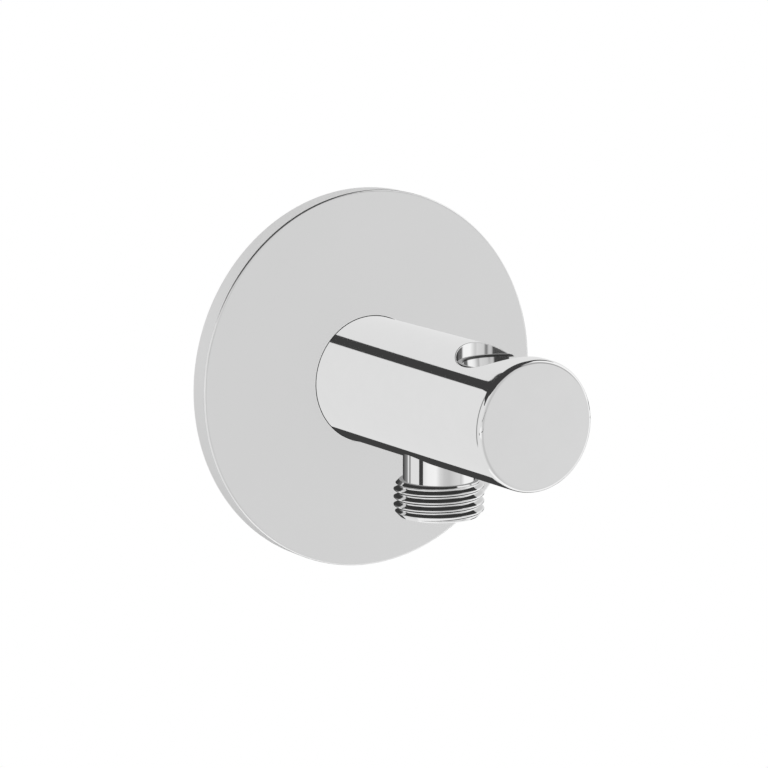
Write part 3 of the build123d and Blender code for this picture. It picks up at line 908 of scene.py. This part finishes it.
def finished(context, name):
    """The finish of that name, made when it is first asked for."""
    looks = context.scene.elbow_finishes
    if name in bpy.data.materials:
        return bpy.data.materials[name]
    return grained(name, looks) if name in GRAINS else FINISHES[name](looks)


def fit(piece, node):
    """The piece stands for a solid, moves with the elbow and isn't mirrored by the others."""
    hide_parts(node)
    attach(piece, "elbow")
    piece.visible_glossy = False


# Surroundings

class Sky(Tree):
    """The surroundings that the metal mirrors: a bright level all round and the dark flags on it.

    A direction is given in degrees: its turn from +Y towards +X, its tilt above the level, and its angle away
    from +Y. The numbers of the flags are such angles, slopes between them, and shares of full darkness.
    """

    def __init__(self, tree):
        super().__init__(tree)
        way = self.parts(self.node("ShaderNodeTexCoord").outputs["Generated"])
        self.turn = self.step("DEGREES", self.step("ARCTAN2", way["X"], way["Y"]))
        self.tilt = self.step("DEGREES", self.step("ARCSINE", way["Z"]))
        self.away = self.step("DEGREES", self.step("ARCCOSINE", way["Y"]))

    def rise(self, value, start, end):
        """Climbs softly from 0 to 1 between two angles."""
        soft = {"interpolation_type": "SMOOTHSTEP"}
        return self.node("ShaderNodeMapRange", soft, Value=value, From_Min=start, From_Max=end).outputs[0]

    def fall(self, value, start, end):
        """Sinks softly from 1 to 0 between two angles."""
        return self.minus(1.0, self.rise(value, start, end))

    def band(self, value, low, high, soft):
        """1 between two angles, with soft edges."""
        return self.times(self.rise(value, low - soft, low + soft),
                          self.fall(value, high - soft, high + soft))

    def levels(self):
        """The brightness without the flags."""
        node = self.node("ShaderNodeValToRGB", Fac=self.slope(self.turn, -180.0, 180.0))
        points = node.color_ramp.elements
        for place, level in LEVELS[1:-1]:
            points.new(place / 360.0 + 0.5).color = (level, level, level, 1.0)
        for point, (_, level) in ((points[0], LEVELS[0]), (points[len(points) - 1], LEVELS[-1])):
            point.color = (level, level, level, 1.0)
        return node.outputs["Color"]

    def ceiling(self):
        """A dark ceiling with the rounded end of a light panel let in, and a long flag under that panel."""
        turn, tilt = self.turn, self.tilt
        bottom = self.largest(self.plus(self.times(turn, 0.115), 30.44), 26.5)
        bend = self.step("EXPONENT", self.times(self.largest(self.plus(turn, 12.2), 0.0), -1 / 4.9))
        upper = self.minus(35.75, self.times(bend, 2.75))
        edge = self.plus(upper, self.times(self.fall(turn, -12.3, -12.1), self.minus(bottom, upper)))
        edge = self.plus(edge, self.times(self.fall(turn, -97.0, -93.0), 14.0))
        roof = self.times(self.rise(self.minus(tilt, edge), -0.06, 0.06), self.band(turn, -148.0, 88.0, 5.0))
        top = self.plus(self.times(turn, -0.125), 31.37)
        under = self.times(self.rise(self.minus(tilt, bottom), -0.15, 0.15),
                           self.fall(self.minus(tilt, top), -0.06, 0.06), self.band(turn, -95.0, -3.2, 0.8))
        front = self.times(self.minus(1.0, self.band(turn, -146.0, 152.0, 3.0)), self.rise(tilt, 43.0, 49.0))
        return self.largest(roof, front, under, self.rise(tilt, 59.0, 62.0))

    def greys(self):
        """A slanted grey flag at the right of the camera, and a grey left side off the level of the neck."""
        turn, tilt = self.turn, self.tilt
        slanted = self.times(self.band(self.minus(turn, self.times(tilt, 0.55)), 115.0, 139.0, 2.0),
                             self.band(tilt, -1.0, 60.0, 2.0), 0.45)
        left = self.times(self.band(turn, -156.0, -104.0, 6.0),
                          self.minus(1.0, self.band(tilt, -17.0, -4.0, 2.0)), 0.2)
        return self.plus(slanted, left)

    def upright(self):
        """A narrow upright flag at the left."""
        return self.times(self.band(self.turn, -95.5, -81.0, 0.5), self.band(self.tilt, -14.0, -10.7, 0.3))

    def behind(self):
        """A low flag behind, cut off at a slant, and a round one straight behind, both grey at the left."""
        turn, tilt = self.turn, self.tilt
        slant = self.minus(-14.0, self.times(0.472, self.plus(turn, 25.0)))
        slant = self.largest(self.minus(slant, self.times(self.rise(turn, 13.0, 20.0), 40.0)),
                             self.plus(-62.0, self.times(self.rise(turn, 46.0, 50.0), 26.0)))
        low = self.times(self.band(turn, -28.5, 66.0, 1.0), self.slope(turn, -27.0, 7.0, 0.7),
                         self.fall(tilt, -8.5, -7.5), self.rise(self.minus(tilt, slant), -0.3, 0.3))
        wider = self.times(self.rise(turn, -2.0, 4.0), self.rise(tilt, 6.0, 12.0), 4.4)
        disc = self.fall(self.minus(self.away, wider), 25.0, 27.6)
        return self.largest(low, self.times(disc, self.slope(turn, -27.0, 7.0, 0.55)))

    def bow(self):
        """A grey bow at the left."""
        return self.times(self.band(self.away, 38.5, 46.0, 1.0), self.band(self.turn, -80.0, -8.0, 4.0),
                          self.band(self.tilt, -24.0, 27.0, 3.0), 0.7)

    def slim(self):
        """Slim level flags on both sides of the camera, set for the walls of the holder and of its sleeve."""
        turn, tilt = self.turn, self.tilt
        wall = self.band(tilt, -10.25, -9.6, 0.12)
        near = self.plus(self.times(self.band(turn, 164.0, 172.0, 3.5), 0.72),
                         self.band(turn, -177.0, -136.0, 3.0))
        near = self.times(near, self.plus(wall, self.band(tilt, 1.2, 2.7, 0.3)))
        far = self.times(self.band(turn, 42.0, 92.0, 6.0),
                         self.plus(wall, self.band(tilt, -7.0, -3.0, 0.6)), 0.9)
        return self.plus(near, far)

    def mirrored(self, flag_level):
        """The brightness that the metal mirrors."""
        flags = (self.ceiling(), self.greys(), self.upright(), self.behind(), self.bow(), self.slim())
        dark = self.step("MINIMUM", 1.0, self.plus(*flags))
        level = self.levels()
        return self.minus(level, self.times(dark, self.minus(level, flag_level)))


# Pieces

class ELBOW_OT_stage(bpy.types.Operator):
    """Sets the camera, the round floor, the soft light and the surroundings that the metal mirrors"""
    bl_idname = "elbow.stage"
    bl_label = "Stage"

    def execute(self, context):
        stage = context.scene.elbow_stage
        self.camera(context, stage)
        self.floor(stage)
        self.lamp(context, stage)
        self.world(context, stage)
        return {"FINISHED"}

    def camera(self, context, stage):
        """The camera of the picture."""
        lens = bpy.data.cameras.new("Camera")
        lens.lens = stage.lens
        lens.clip_end = 10
        camera = bpy.data.objects.new("Camera", lens)
        camera.location = stage.camera_place
        look = Vector(stage.camera_aim) - Vector(stage.camera_place)
        camera.rotation_euler = look.to_track_quat("-Z", "Y").to_euler()
        context.scene.collection.objects.link(camera)
        context.scene.camera = camera
        context.scene.view_settings.view_transform = "Standard"

    def floor(self, stage):
        """A round white floor, lit up to plain white and kept open to shadows."""
        mesh = bpy.data.meshes.new("Floor")
        turns = np.linspace(0, FULL_TURN, FLOOR_SIDES + 1)[:-1]
        rim = np.stack([np.cos(turns), np.sin(turns), 0 * turns], axis=-1) * stage.floor_radius
        mesh.from_pydata((rim - (0, 0, stage.floor_drop)).tolist(), [], [list(range(FLOOR_SIDES))])
        floor = show("Floor", mesh)
        material = bpy.data.materials.new("Floor white")
        material.use_nodes = True
        white = Tree(material.node_tree)
        white.tree.nodes.clear()
        rays = white.node("ShaderNodeLightPath").outputs
        seen = white.largest(rays["Is Camera Ray"], rays["Is Glossy Ray"], rays["Is Transmission Ray"])
        matt = white.node("ShaderNodeBsdfDiffuse", Color=FLOOR_GREY)
        glow = white.node("ShaderNodeEmission", Strength=white.times(seen, FLOOR_GLOW))
        both = white.node("ShaderNodeAddShader")
        white.feed(both.inputs[0], matt.outputs[0])
        white.feed(both.inputs[1], glow.outputs[0])
        white.feed(white.node("ShaderNodeOutputMaterial").inputs[0], both.outputs[0])
        mesh.materials.append(material)

    def lamp(self, context, stage):
        """One large soft lamp from the upper left, which the metal doesn't mirror."""
        light = bpy.data.lights.new("Soft lamp", "AREA")
        light.shape = "DISK"
        light.size = LAMP_SIZE
        light.energy = LAMP_POWER * (1.0 - stage.ambient)
        lamp = bpy.data.objects.new("Soft lamp", light)
        lamp.location = LAMP_PLACE
        lamp.rotation_euler = (-lamp.location).to_track_quat("-Z", "Y").to_euler()
        lamp.visible_glossy = False
        lamp.visible_camera = False
        context.scene.collection.objects.link(lamp)

    def world(self, context, stage):
        """White all round, with dark flags for the metal to mirror."""
        world = bpy.data.worlds.new("White studio")
        world.use_nodes = True
        context.scene.world = world
        world.node_tree.nodes.clear()
        sky = Sky(world.node_tree)
        rays = sky.node("ShaderNodeLightPath").outputs
        plain = sky.largest(rays["Is Camera Ray"], rays["Is Transmission Ray"])
        lit = sky.node("ShaderNodeMix", Factor=rays["Is Glossy Ray"], A=stage.ambient,
                       B=sky.mirrored(stage.flag_level)).outputs[0]
        back = sky.node("ShaderNodeBackground", Color=(1.0, 1.0, 1.0, 1.0), Strength=sky.largest(lit, plain))
        sky.feed(sky.node("ShaderNodeOutputWorld").inputs[0], back.outputs[0])


class ELBOW_OT_body(bpy.types.Operator):
    """Builds the round body with its socket, water chamber, outlet hole and slotted holder"""
    bl_idname = "elbow.body"
    bl_label = "Body"

    def execute(self, context):
        body, hold = context.scene.elbow_body, context.scene.elbow_holder
        threads = context.scene.elbow_threads
        shell = Shell()
        radius = body.radius
        holder = self.holder(shell, radius, hold)
        rim = body.hole_rim
        outlet, ceiling = lower_hole(
            shell, radius, rim, body.outlet_radius, threads.outlet_y, body.outlet_ceiling)
        grub, grub_end = lower_hole(shell, radius, rim, body.grub_radius, GRUB_Y, body.socket_radius)
        # Ceiling of the outlet hole and the way up into the chamber
        middle = np.array([0, threads.outlet_y, body.outlet_ceiling])
        walls = (ceiling - middle) / body.outlet_radius
        cross = middle + walls * body.cross_radius
        shell.grid(np.stack([ceiling, cross]), np.array([0.0, 0.0, -1.0]))
        way = upright_wall(shell, cross, walls, -np.sqrt(body.chamber_radius ** 2 - cross[:, 0] ** 2))[-1]
        # The side leans in towards the front, and more so close to the edge
        rolled = body.edge_run + SOFT_MIDDLE * body.soft_run
        edge = radius - (rolled - body.edge_run) * math.tan(body.soft_lean)
        strips = outline([
            (0, body.front, 0),
            (edge - body.edge_run * math.tan(body.edge_lean), body.front, body.front_round),
            (edge, body.front + body.edge_run, body.edge_round),
            (radius, body.front + rolled, body.soft_run / math.sin(body.soft_lean)),
            (radius, body.rear, body.rear_round),
            (body.socket_radius + body.socket_lead, body.rear, 0),
            (body.socket_radius, body.rear - body.socket_lead, 0),
            (body.socket_radius, body.socket_end, 0),
            (body.chamber_radius, body.socket_end, 0),
            (body.chamber_radius, body.chamber_end, 0),
            (0, body.chamber_tip, 0),
        ])
        openings = {3: (holder, outlet, grub), 6: (grub_end[:-1],), 8: (way[:-1],)}
        turned(shell, Axis("Y"), strips, openings)
        for number, points, normals in strips:
            if number in openings:
                low, high = sorted((points[0, 1], points[-1, 1]))
                cut_round(shell, points[0, 0], low, high, openings[number], normals[0, 0] > 0)
        piece = shell.piece("body_polished", finished(context, "Polished chrome"))
        fit(piece, "body")
        return {"FINISHED"}

    def way(self, hold, radius):
        """Half of the plan of a slotted bore: its points and the directions into the metal."""
        half, corner = hold.slot_half, hold.corner
        reach = math.sqrt((radius + corner) ** 2 - (half + corner) ** 2)
        lean = math.atan2(half + corner, reach)
        bend = np.linspace(-math.pi / 2, lean - math.pi, ARC_STEPS + 1)
        into = -np.stack([np.cos(bend), np.sin(bend)], axis=-1)
        bow = np.array([reach, half + corner]) - corner * into
        turns = np.linspace(lean, FULL_TURN - lean, AROUND - ARC_STEPS)[1:-1]
        arms = np.stack([np.cos(turns), np.sin(turns)], axis=-1)
        mirror = np.array([1, -1])
        points = np.concatenate([bow, radius * arms, (bow * mirror)[::-1]])
        walls = np.concatenate([into, arms, (into * mirror)[::-1]])
        return points, walls

    def holder(self, shell, radius, hold):
        """The bore, its floor, the hose way and the slot. Returns the edge of the whole opening."""
        middle = np.array([SLEEVE_LOW[0] + hold.sleeve_radius, (SLEEVE_LOW[1] + SLEEVE_HIGH[1]) / 2])
        ball = radius - hold.rim
        rims = []
        for way_radius, up in ((hold.sleeve_radius + hold.sleeve_play, 1), (hold.way_radius, -1)):
            plan, walls = self.way(hold, way_radius)
            centres = plan + middle + hold.rim * walls
            height = up * np.sqrt(ball ** 2 - centres[:, 0] ** 2)
            rims.append((np.column_stack([centres, height]), np.column_stack([walls, 0 * height])))
        (top, top_walls), (bottom, bottom_walls) = rims
        # The slot's straight edges, down one side and up the other
        starts = [math.atan2(top[-1, 2], top[-1, 0]), math.atan2(bottom[-1, 2], bottom[-1, 0])]
        turns = np.linspace(*starts, AROUND // 3)[1:-1]
        near, far = (np.column_stack([ball * np.cos(turns), np.full_like(turns, y), ball * np.sin(turns)])
                     for y in (top[-1, 1], top[0, 1]))
        near_walls, far_walls = (np.tile((0.0, side, 0.0), (len(turns), 1)) for side in (-1.0, 1.0))
        centres = np.concatenate([top, near, bottom[::-1], far[::-1]])
        walls = np.concatenate([top_walls, near_walls, bottom_walls[::-1], far_walls[::-1]])
        outside, edge = rolled_rim(shell, radius, hold.rim, centres, walls)
        counts = np.cumsum([len(top), len(near), len(bottom)])
        top_edge, near_edge, bottom_edge, far_edge = np.split(edge, counts)
        bottom_edge, far_edge = bottom_edge[::-1], far_edge[::-1]
        bore = upright_wall(shell, top_edge, top_walls, hold.floor)
        hose = upright_wall(shell, bottom_edge, bottom_walls, hold.floor)
        floor = bore[-1] + np.linspace(0, 1, 5)[:, None, None] * (hose[-1] - bore[-1])
        shell.grid(floor, np.array([0.0, 0.0, 1.0]))
        for column, line, look in ((-1, near_edge, 1.0), (0, far_edge, -1.0)):
            around = [bore[:1, column], line, hose[:, column], floor[-2::-1, column], bore[-2:0:-1, column]]
            shell.flat(np.concatenate(around), (0.0, look, 0.0))
        return outside


class ELBOW_OT_rosette(bpy.types.Operator):
    """Builds the round wall plate with its rim, hub and ring groove"""
    bl_idname = "elbow.rosette"
    bl_label = "Rosette"

    def execute(self, context):
        plate = context.scene.elbow_plate
        small = plate.small_edge
        back = plate.front + plate.skin
        groove = plate.front + plate.groove_land
        shell = Shell()
        turned(shell, Axis("Y"), outline([
            (plate.hole, plate.front, small),
            (plate.radius, plate.front, plate.edge),
            (plate.radius, PLATE_HIGH[1], small),
            (plate.radius - plate.rim, PLATE_HIGH[1], small),
            (plate.radius - plate.rim, back, small),
            (plate.hub, back, small),
            (plate.hub, -plate.hub_gap, small),
            (plate.hole, -plate.hub_gap, small),
            (plate.hole, groove + plate.groove_width, 0),
            (plate.groove, groove + plate.groove_width, 0),
            (plate.groove, groove, 0),
            (plate.hole, groove, 0),
        ], closed=True))
        piece = shell.piece("rosette_satin", finished(context, "Satin chrome"))
        fit(piece, "rosette")
        # Thin black ring that fills the gap round the body: painted shade, standing in for the shadow in that
        # gap
        lip = Shell()
        inner, outer = context.scene.elbow_body.radius + plate.shade_ring_play, plate.hole - plate.shade_ring_play
        turned(lip, Axis("Y"), outline([
            (inner, plate.front + plate.shade_ring_setback, 0),
            (outer, plate.front + plate.shade_ring_setback, 0),
            (outer, groove, 0),
            (inner, groove, 0),
        ], closed=True))
        shade_ring = lip.piece("rosette_lip", finished(context, "Moulded rubber"))
        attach(shade_ring, "elbow")
        shade_ring.visible_glossy = False
        return {"FINISHED"}


class ELBOW_OT_holder_sleeve(bpy.types.Operator):
    """Builds the slotted sleeve with its tapered seat, trimmed to the round of the body"""
    bl_idname = "elbow.holder_sleeve"
    bl_label = "Holder sleeve"

    def execute(self, context):
        hold = context.scene.elbow_holder
        axis = Axis("Z", (SLEEVE_LOW[0] + hold.sleeve_radius, (SLEEVE_LOW[1] + SLEEVE_HIGH[1]) / 2, 0))
        trim = context.scene.elbow_body.radius - hold.setback
        strips = outline([
            (hold.seat_bottom, hold.floor, hold.sleeve_edge),
            (hold.sleeve_radius, hold.floor, hold.sleeve_edge),
            (hold.sleeve_radius, hold.sleeve_top - hold.sleeve_chamfer, 0),
            (hold.sleeve_radius - hold.sleeve_chamfer, hold.sleeve_top, 0),
            (hold.seat_top, hold.sleeve_top, hold.sleeve_edge),
        ], closed=True)
        shell = Shell()
        ends = ([], [])
        for _, points, normals in strips:
            start = np.arcsin(hold.slot_half / points[:, :1])
            turns = start + np.linspace(0, 1, AROUND) * (FULL_TURN - 2 * start)
            place = axis.place(points[:, :1], turns, points[:, 1:])
            looks = axis.direct(normals[:, :1], turns, normals[:, 1:])
            limit = np.sqrt(trim ** 2 - place[..., 0] ** 2)
            cut = place[..., 2] > limit
            place[..., 2] = np.minimum(place[..., 2], limit)
            if normals[:, 1].min() > 0.1:
                looks[cut] = place[cut] * (1, 0, 1) / trim
            shell.grid(place, looks)
            for end, column in zip(ends, (0, -1)):
                end.append(place[:-1, column])
        for end, look in zip(ends, (-1.0, 1.0)):
            shell.flat(np.concatenate(end), (0.0, look, 0.0))
        piece = shell.piece("sleeve_polished", finished(context, "Edged chrome"))
        fit(piece, "holder_sleeve")
        return {"FINISHED"}


class ELBOW_OT_outlet_nipple(bpy.types.Operator):
    """Builds the neck and the cut hose thread, with the key socket and the bore for the valve"""
    bl_idname = "elbow.outlet_nipple"
    bl_label = "Outlet nipple"

    def execute(self, context):
        sizes = context.scene.elbow_threads
        chrome = finished(context, "Threaded chrome")
        axis = Axis("Z", (0, sizes.outlet_y, 0))
        end, top = OUTLET_LOW[2], OUTLET_HIGH[2]
        mouth = (sizes.key + sizes.lead_radius) / 2
        strips = outline([
            (mouth, end, 0),
            (sizes.lead_radius, end, 0),
            (sizes.end_radius, sizes.neck_end, 0),
            (sizes.neck_radius, sizes.neck_end, 0),
            (sizes.neck_radius, top, 0),
            (sizes.valve_radius, top, 0),
            (sizes.valve_radius, sizes.valve_floor, 0),
            (sizes.way_radius, sizes.valve_floor, 0),
            (sizes.way_radius, sizes.shoulder, 0),
        ])
        shell = Shell()
        turned(shell, axis, strips, left_out=(1,))
        key_socket(shell, axis, sizes.key, end, sizes.shoulder, mouth, sizes.way_radius)
        cut = thread({
            **PIPE_FORM, "Radius": sizes.radius, "Pitch": sizes.pitch, "Length": sizes.neck_end - end,
            "Top radius": sizes.end_radius, "Bottom radius": sizes.lead_radius,
            "Crest": sizes.crest - sizes.neck_end,
        }, OUTLET_ROWS, chrome)
        cut.transform(Matrix.Translation((0, sizes.outlet_y, sizes.neck_end)))
        shell.mesh(cut)
        piece = shell.piece("outlet_threaded", chrome)
        fit(piece, "outlet_nipple")
        return {"FINISHED"}


class ELBOW_OT_wall_nipple(bpy.types.Operator):
    """Builds the brass nipple with its wall thread, ring grooves and key socket"""
    bl_idname = "elbow.wall_nipple"
    bl_label = "Wall nipple"

    def execute(self, context):
        sizes = context.scene.elbow_threads
        brass = finished(context, "Turned brass")
        axis = Axis("Y")
        front, back = NIPPLE_LOW[1], NIPPLE_HIGH[1]
        start = context.scene.elbow_body.rear
        mouth = (sizes.key + sizes.spigot_radius) / 2
        edge, root, wide = 0.1 * MM, 0.15 * MM, 0.2 * MM
        grooves = [(front + sizes.ring_edge, sizes.ring_radius, sizes.ring_width / 2),
                   (front + sizes.ring_edge + sizes.ring_pitch, sizes.ring_radius, sizes.ring_width / 2),
                   (GRUB_Y, sizes.grub_groove, sizes.grub_radius + sizes.grub_play)]
        corners = [(mouth, front, 0), (sizes.spigot_radius - sizes.spigot_chamfer, front, 0),
                   (sizes.spigot_radius, front + sizes.spigot_chamfer, 0)]
        for y, floor, half in grooves:
            corners += [(sizes.spigot_radius, y - half, edge), (floor, y - half, root),
                        (floor, y + half, root), (sizes.spigot_radius, y + half, edge)]
        corners += [
            (sizes.spigot_radius, start - sizes.relief_width, edge),
            (sizes.relief_radius, start - sizes.relief_width, wide),
            (sizes.relief_radius, start, 0),
            (sizes.end_radius, start, 0),
            (sizes.end_radius, back, 0),
            (sizes.bore, back, wide),
            (sizes.bore, front + sizes.key_depth, 0),
        ]
        shell = Shell()
        turned(shell, axis, outline(corners), left_out=(len(corners) - 4,))
        key_socket(shell, axis, sizes.key, front, front + sizes.key_depth, mouth, sizes.bore)
        # The thread is cut upright and laid down along the axis, its top end in the wall
        cut = thread({
            **PIPE_FORM, "Radius": sizes.radius, "Pitch": sizes.pitch, "Length": back - start,
            "Top radius": sizes.end_radius, "Bottom radius": sizes.end_radius, "Crest": 0.0,
        }, WALL_ROWS, brass)
        cut.transform(Matrix.Translation((0, back, 0)) @ Matrix.Rotation(-math.pi / 2, 4, "X"))
        shell.mesh(cut)
        piece = shell.piece("wall_nipple_threaded", brass)
        fit(piece, "wall_nipple")
        return {"FINISHED"}


class ELBOW_OT_grub_screw(bpy.types.Operator):
    """Builds the headless screw with its thread and key socket"""
    bl_idname = "elbow.grub_screw"
    bl_label = "Grub screw"

    def execute(self, context):
        sizes = context.scene.elbow_threads
        steel = finished(context, "Drawn steel")
        axis = Axis("Z", (0, GRUB_Y, 0))
        head, tip = GRUB_LOW[2], GRUB_HIGH[2]
        mouth = (sizes.grub_key / math.cos(math.pi / 6) + sizes.grub_start) / 2
        shell = Shell()
        turned(shell, axis, outline([(mouth, head, 0), (sizes.grub_start, head, 0)]))
        turned(shell, axis, outline([(sizes.grub_start, tip, 0), (0, tip, 0)]))
        key_socket(shell, axis, sizes.grub_key, head, head + sizes.grub_key_depth, mouth, 0.0)
        cut = thread({
            **METRIC_FORM, "Radius": sizes.grub_radius, "Pitch": sizes.grub_pitch, "Length": tip - head,
            "Top radius": sizes.grub_start, "Bottom radius": sizes.grub_start, "Crest": 0.0,
        }, GRUB_ROWS, steel)
        cut.transform(Matrix.Translation((0, GRUB_Y, tip)))
        shell.mesh(cut)
        piece = shell.piece("grub_threaded", steel)
        fit(piece, "grub_screw")
        return {"FINISHED"}


class ELBOW_OT_valve_spring(bpy.types.Operator):
    """Coils the valve spring from round wire."""
    bl_idname = "elbow.valve_spring"
    bl_label = "Valve spring"

    def execute(self, context):
        sizes = context.scene.elbow_spring
        steel = finished(context, "Drawn steel")
        low, high = SPRING_LOW[2] + sizes.wire, SPRING_HIGH[2] - sizes.wire
        group = bpy.data.node_groups.get("Coil spring") or coil_tree()
        mesh = grown(group, {
            "Radius": sizes.radius, "Wire": sizes.wire, "Height": high - low, "Turns": sizes.turns,
            "Around": COIL_STEPS, "Wire sides": WIRE_SIDES, "Material": steel,
        })
        outlet_y = context.scene.elbow_threads.outlet_y
        mesh.transform(Matrix.Translation((0, outlet_y, low)))
        piece = show("spring_coil", mesh)
        fit(piece, "valve_spring")
        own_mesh(piece)
        return {"FINISHED"}


class ELBOW_OT_wall_seal(bpy.types.Operator):
    """Builds the soft foam ring behind the rosette"""
    bl_idname = "elbow.wall_seal"
    bl_label = "Wall seal"

    def execute(self, context):
        plate = context.scene.elbow_plate
        inner = plate.seal_outer - plate.seal_width
        shell = Shell()
        turned(shell, Axis("Y"), outline([
            (inner, SEAL_LOW[1], plate.small_edge),
            (plate.seal_outer, SEAL_LOW[1], plate.small_edge),
            (plate.seal_outer, SEAL_HIGH[1], plate.seal_edge),
            (inner, SEAL_HIGH[1], plate.seal_edge),
        ], closed=True))
        piece = shell.piece("wall_seal_foam", finished(context, "Cell foam"))
        fit(piece, "wall_seal")
        return {"FINISHED"}


class ELBOW_OT_small_parts(bpy.types.Operator):
    """Gives the sealing rings, the gasket and the valve their finishes"""
    bl_idname = "elbow.small_parts"
    bl_label = "Seals and valve"

    def execute(self, context):
        groups = {
            "Moulded rubber": (
                "spigot_o_ring_rear", "spigot_o_ring_front", "rosette_o_ring", "valve_o_ring", "poppet_seal"),
            "Pressed fibre": ("outlet_gasket",),
            "Moulded plastic": ("valve_seat", "valve_cage", "valve_poppet"),
        }
        for name, nodes in groups.items():
            for node in nodes:
                solid = frame["nodes"][node]
                solid.visible_glossy = False
                for slot in solid.material_slots:
                    slot.material = finished(context, name)
        return {"FINISHED"}


OPERATORS = (
    ELBOW_OT_stage,
    ELBOW_OT_body,
    ELBOW_OT_rosette,
    ELBOW_OT_holder_sleeve,
    ELBOW_OT_outlet_nipple,
    ELBOW_OT_wall_nipple,
    ELBOW_OT_grub_screw,
    ELBOW_OT_valve_spring,
    ELBOW_OT_wall_seal,
    ELBOW_OT_small_parts,
)
SETTINGS = {
    "elbow_body": BodySizes,
    "elbow_holder": HolderSizes,
    "elbow_plate": PlateSizes,
    "elbow_threads": ThreadSizes,
    "elbow_spring": SpringSizes,
    "elbow_finishes": Finishes,
    "elbow_stage": StageSettings,
}


class ELBOW_PT_panel(bpy.types.Panel):
    """Lists the settings and the pieces of the elbow"""
    bl_idname = "ELBOW_PT_panel"
    bl_label = "Wall outlet elbow"
    bl_space_type = "VIEW_3D"
    bl_region_type = "UI"
    bl_category = "Elbow"

    def draw(self, context):
        for name, kind in SETTINGS.items():
            box = self.layout.box()
            box.label(text=kind.__doc__)
            for setting in kind.__annotations__:
                box.prop(getattr(context.scene, name), setting)
        for operator in OPERATORS:
            self.layout.operator(operator.bl_idname)


def register():
    """Makes the settings, the operators and the panel known."""
    for kind in (*SETTINGS.values(), *OPERATORS, ELBOW_PT_panel):
        bpy.utils.register_class(kind)
    for name, kind in SETTINGS.items():
        setattr(bpy.types.Scene, name, bpy.props.PointerProperty(type=kind))


def unregister():
    """Takes them away again."""
    for name in SETTINGS:
        delattr(bpy.types.Scene, name)
    for kind in (ELBOW_PT_panel, *reversed(OPERATORS), *SETTINGS.values()):
        bpy.utils.unregister_class(kind)


def main():
    """Builds every piece and the stage."""
    register()
    bpy.ops.elbow.body()
    bpy.ops.elbow.rosette()
    bpy.ops.elbow.holder_sleeve()
    bpy.ops.elbow.outlet_nipple()
    bpy.ops.elbow.wall_nipple()
    bpy.ops.elbow.grub_screw()
    bpy.ops.elbow.valve_spring()
    bpy.ops.elbow.wall_seal()
    bpy.ops.elbow.small_parts()
    bpy.ops.elbow.stage()


if __name__ == "__main__":
    main()
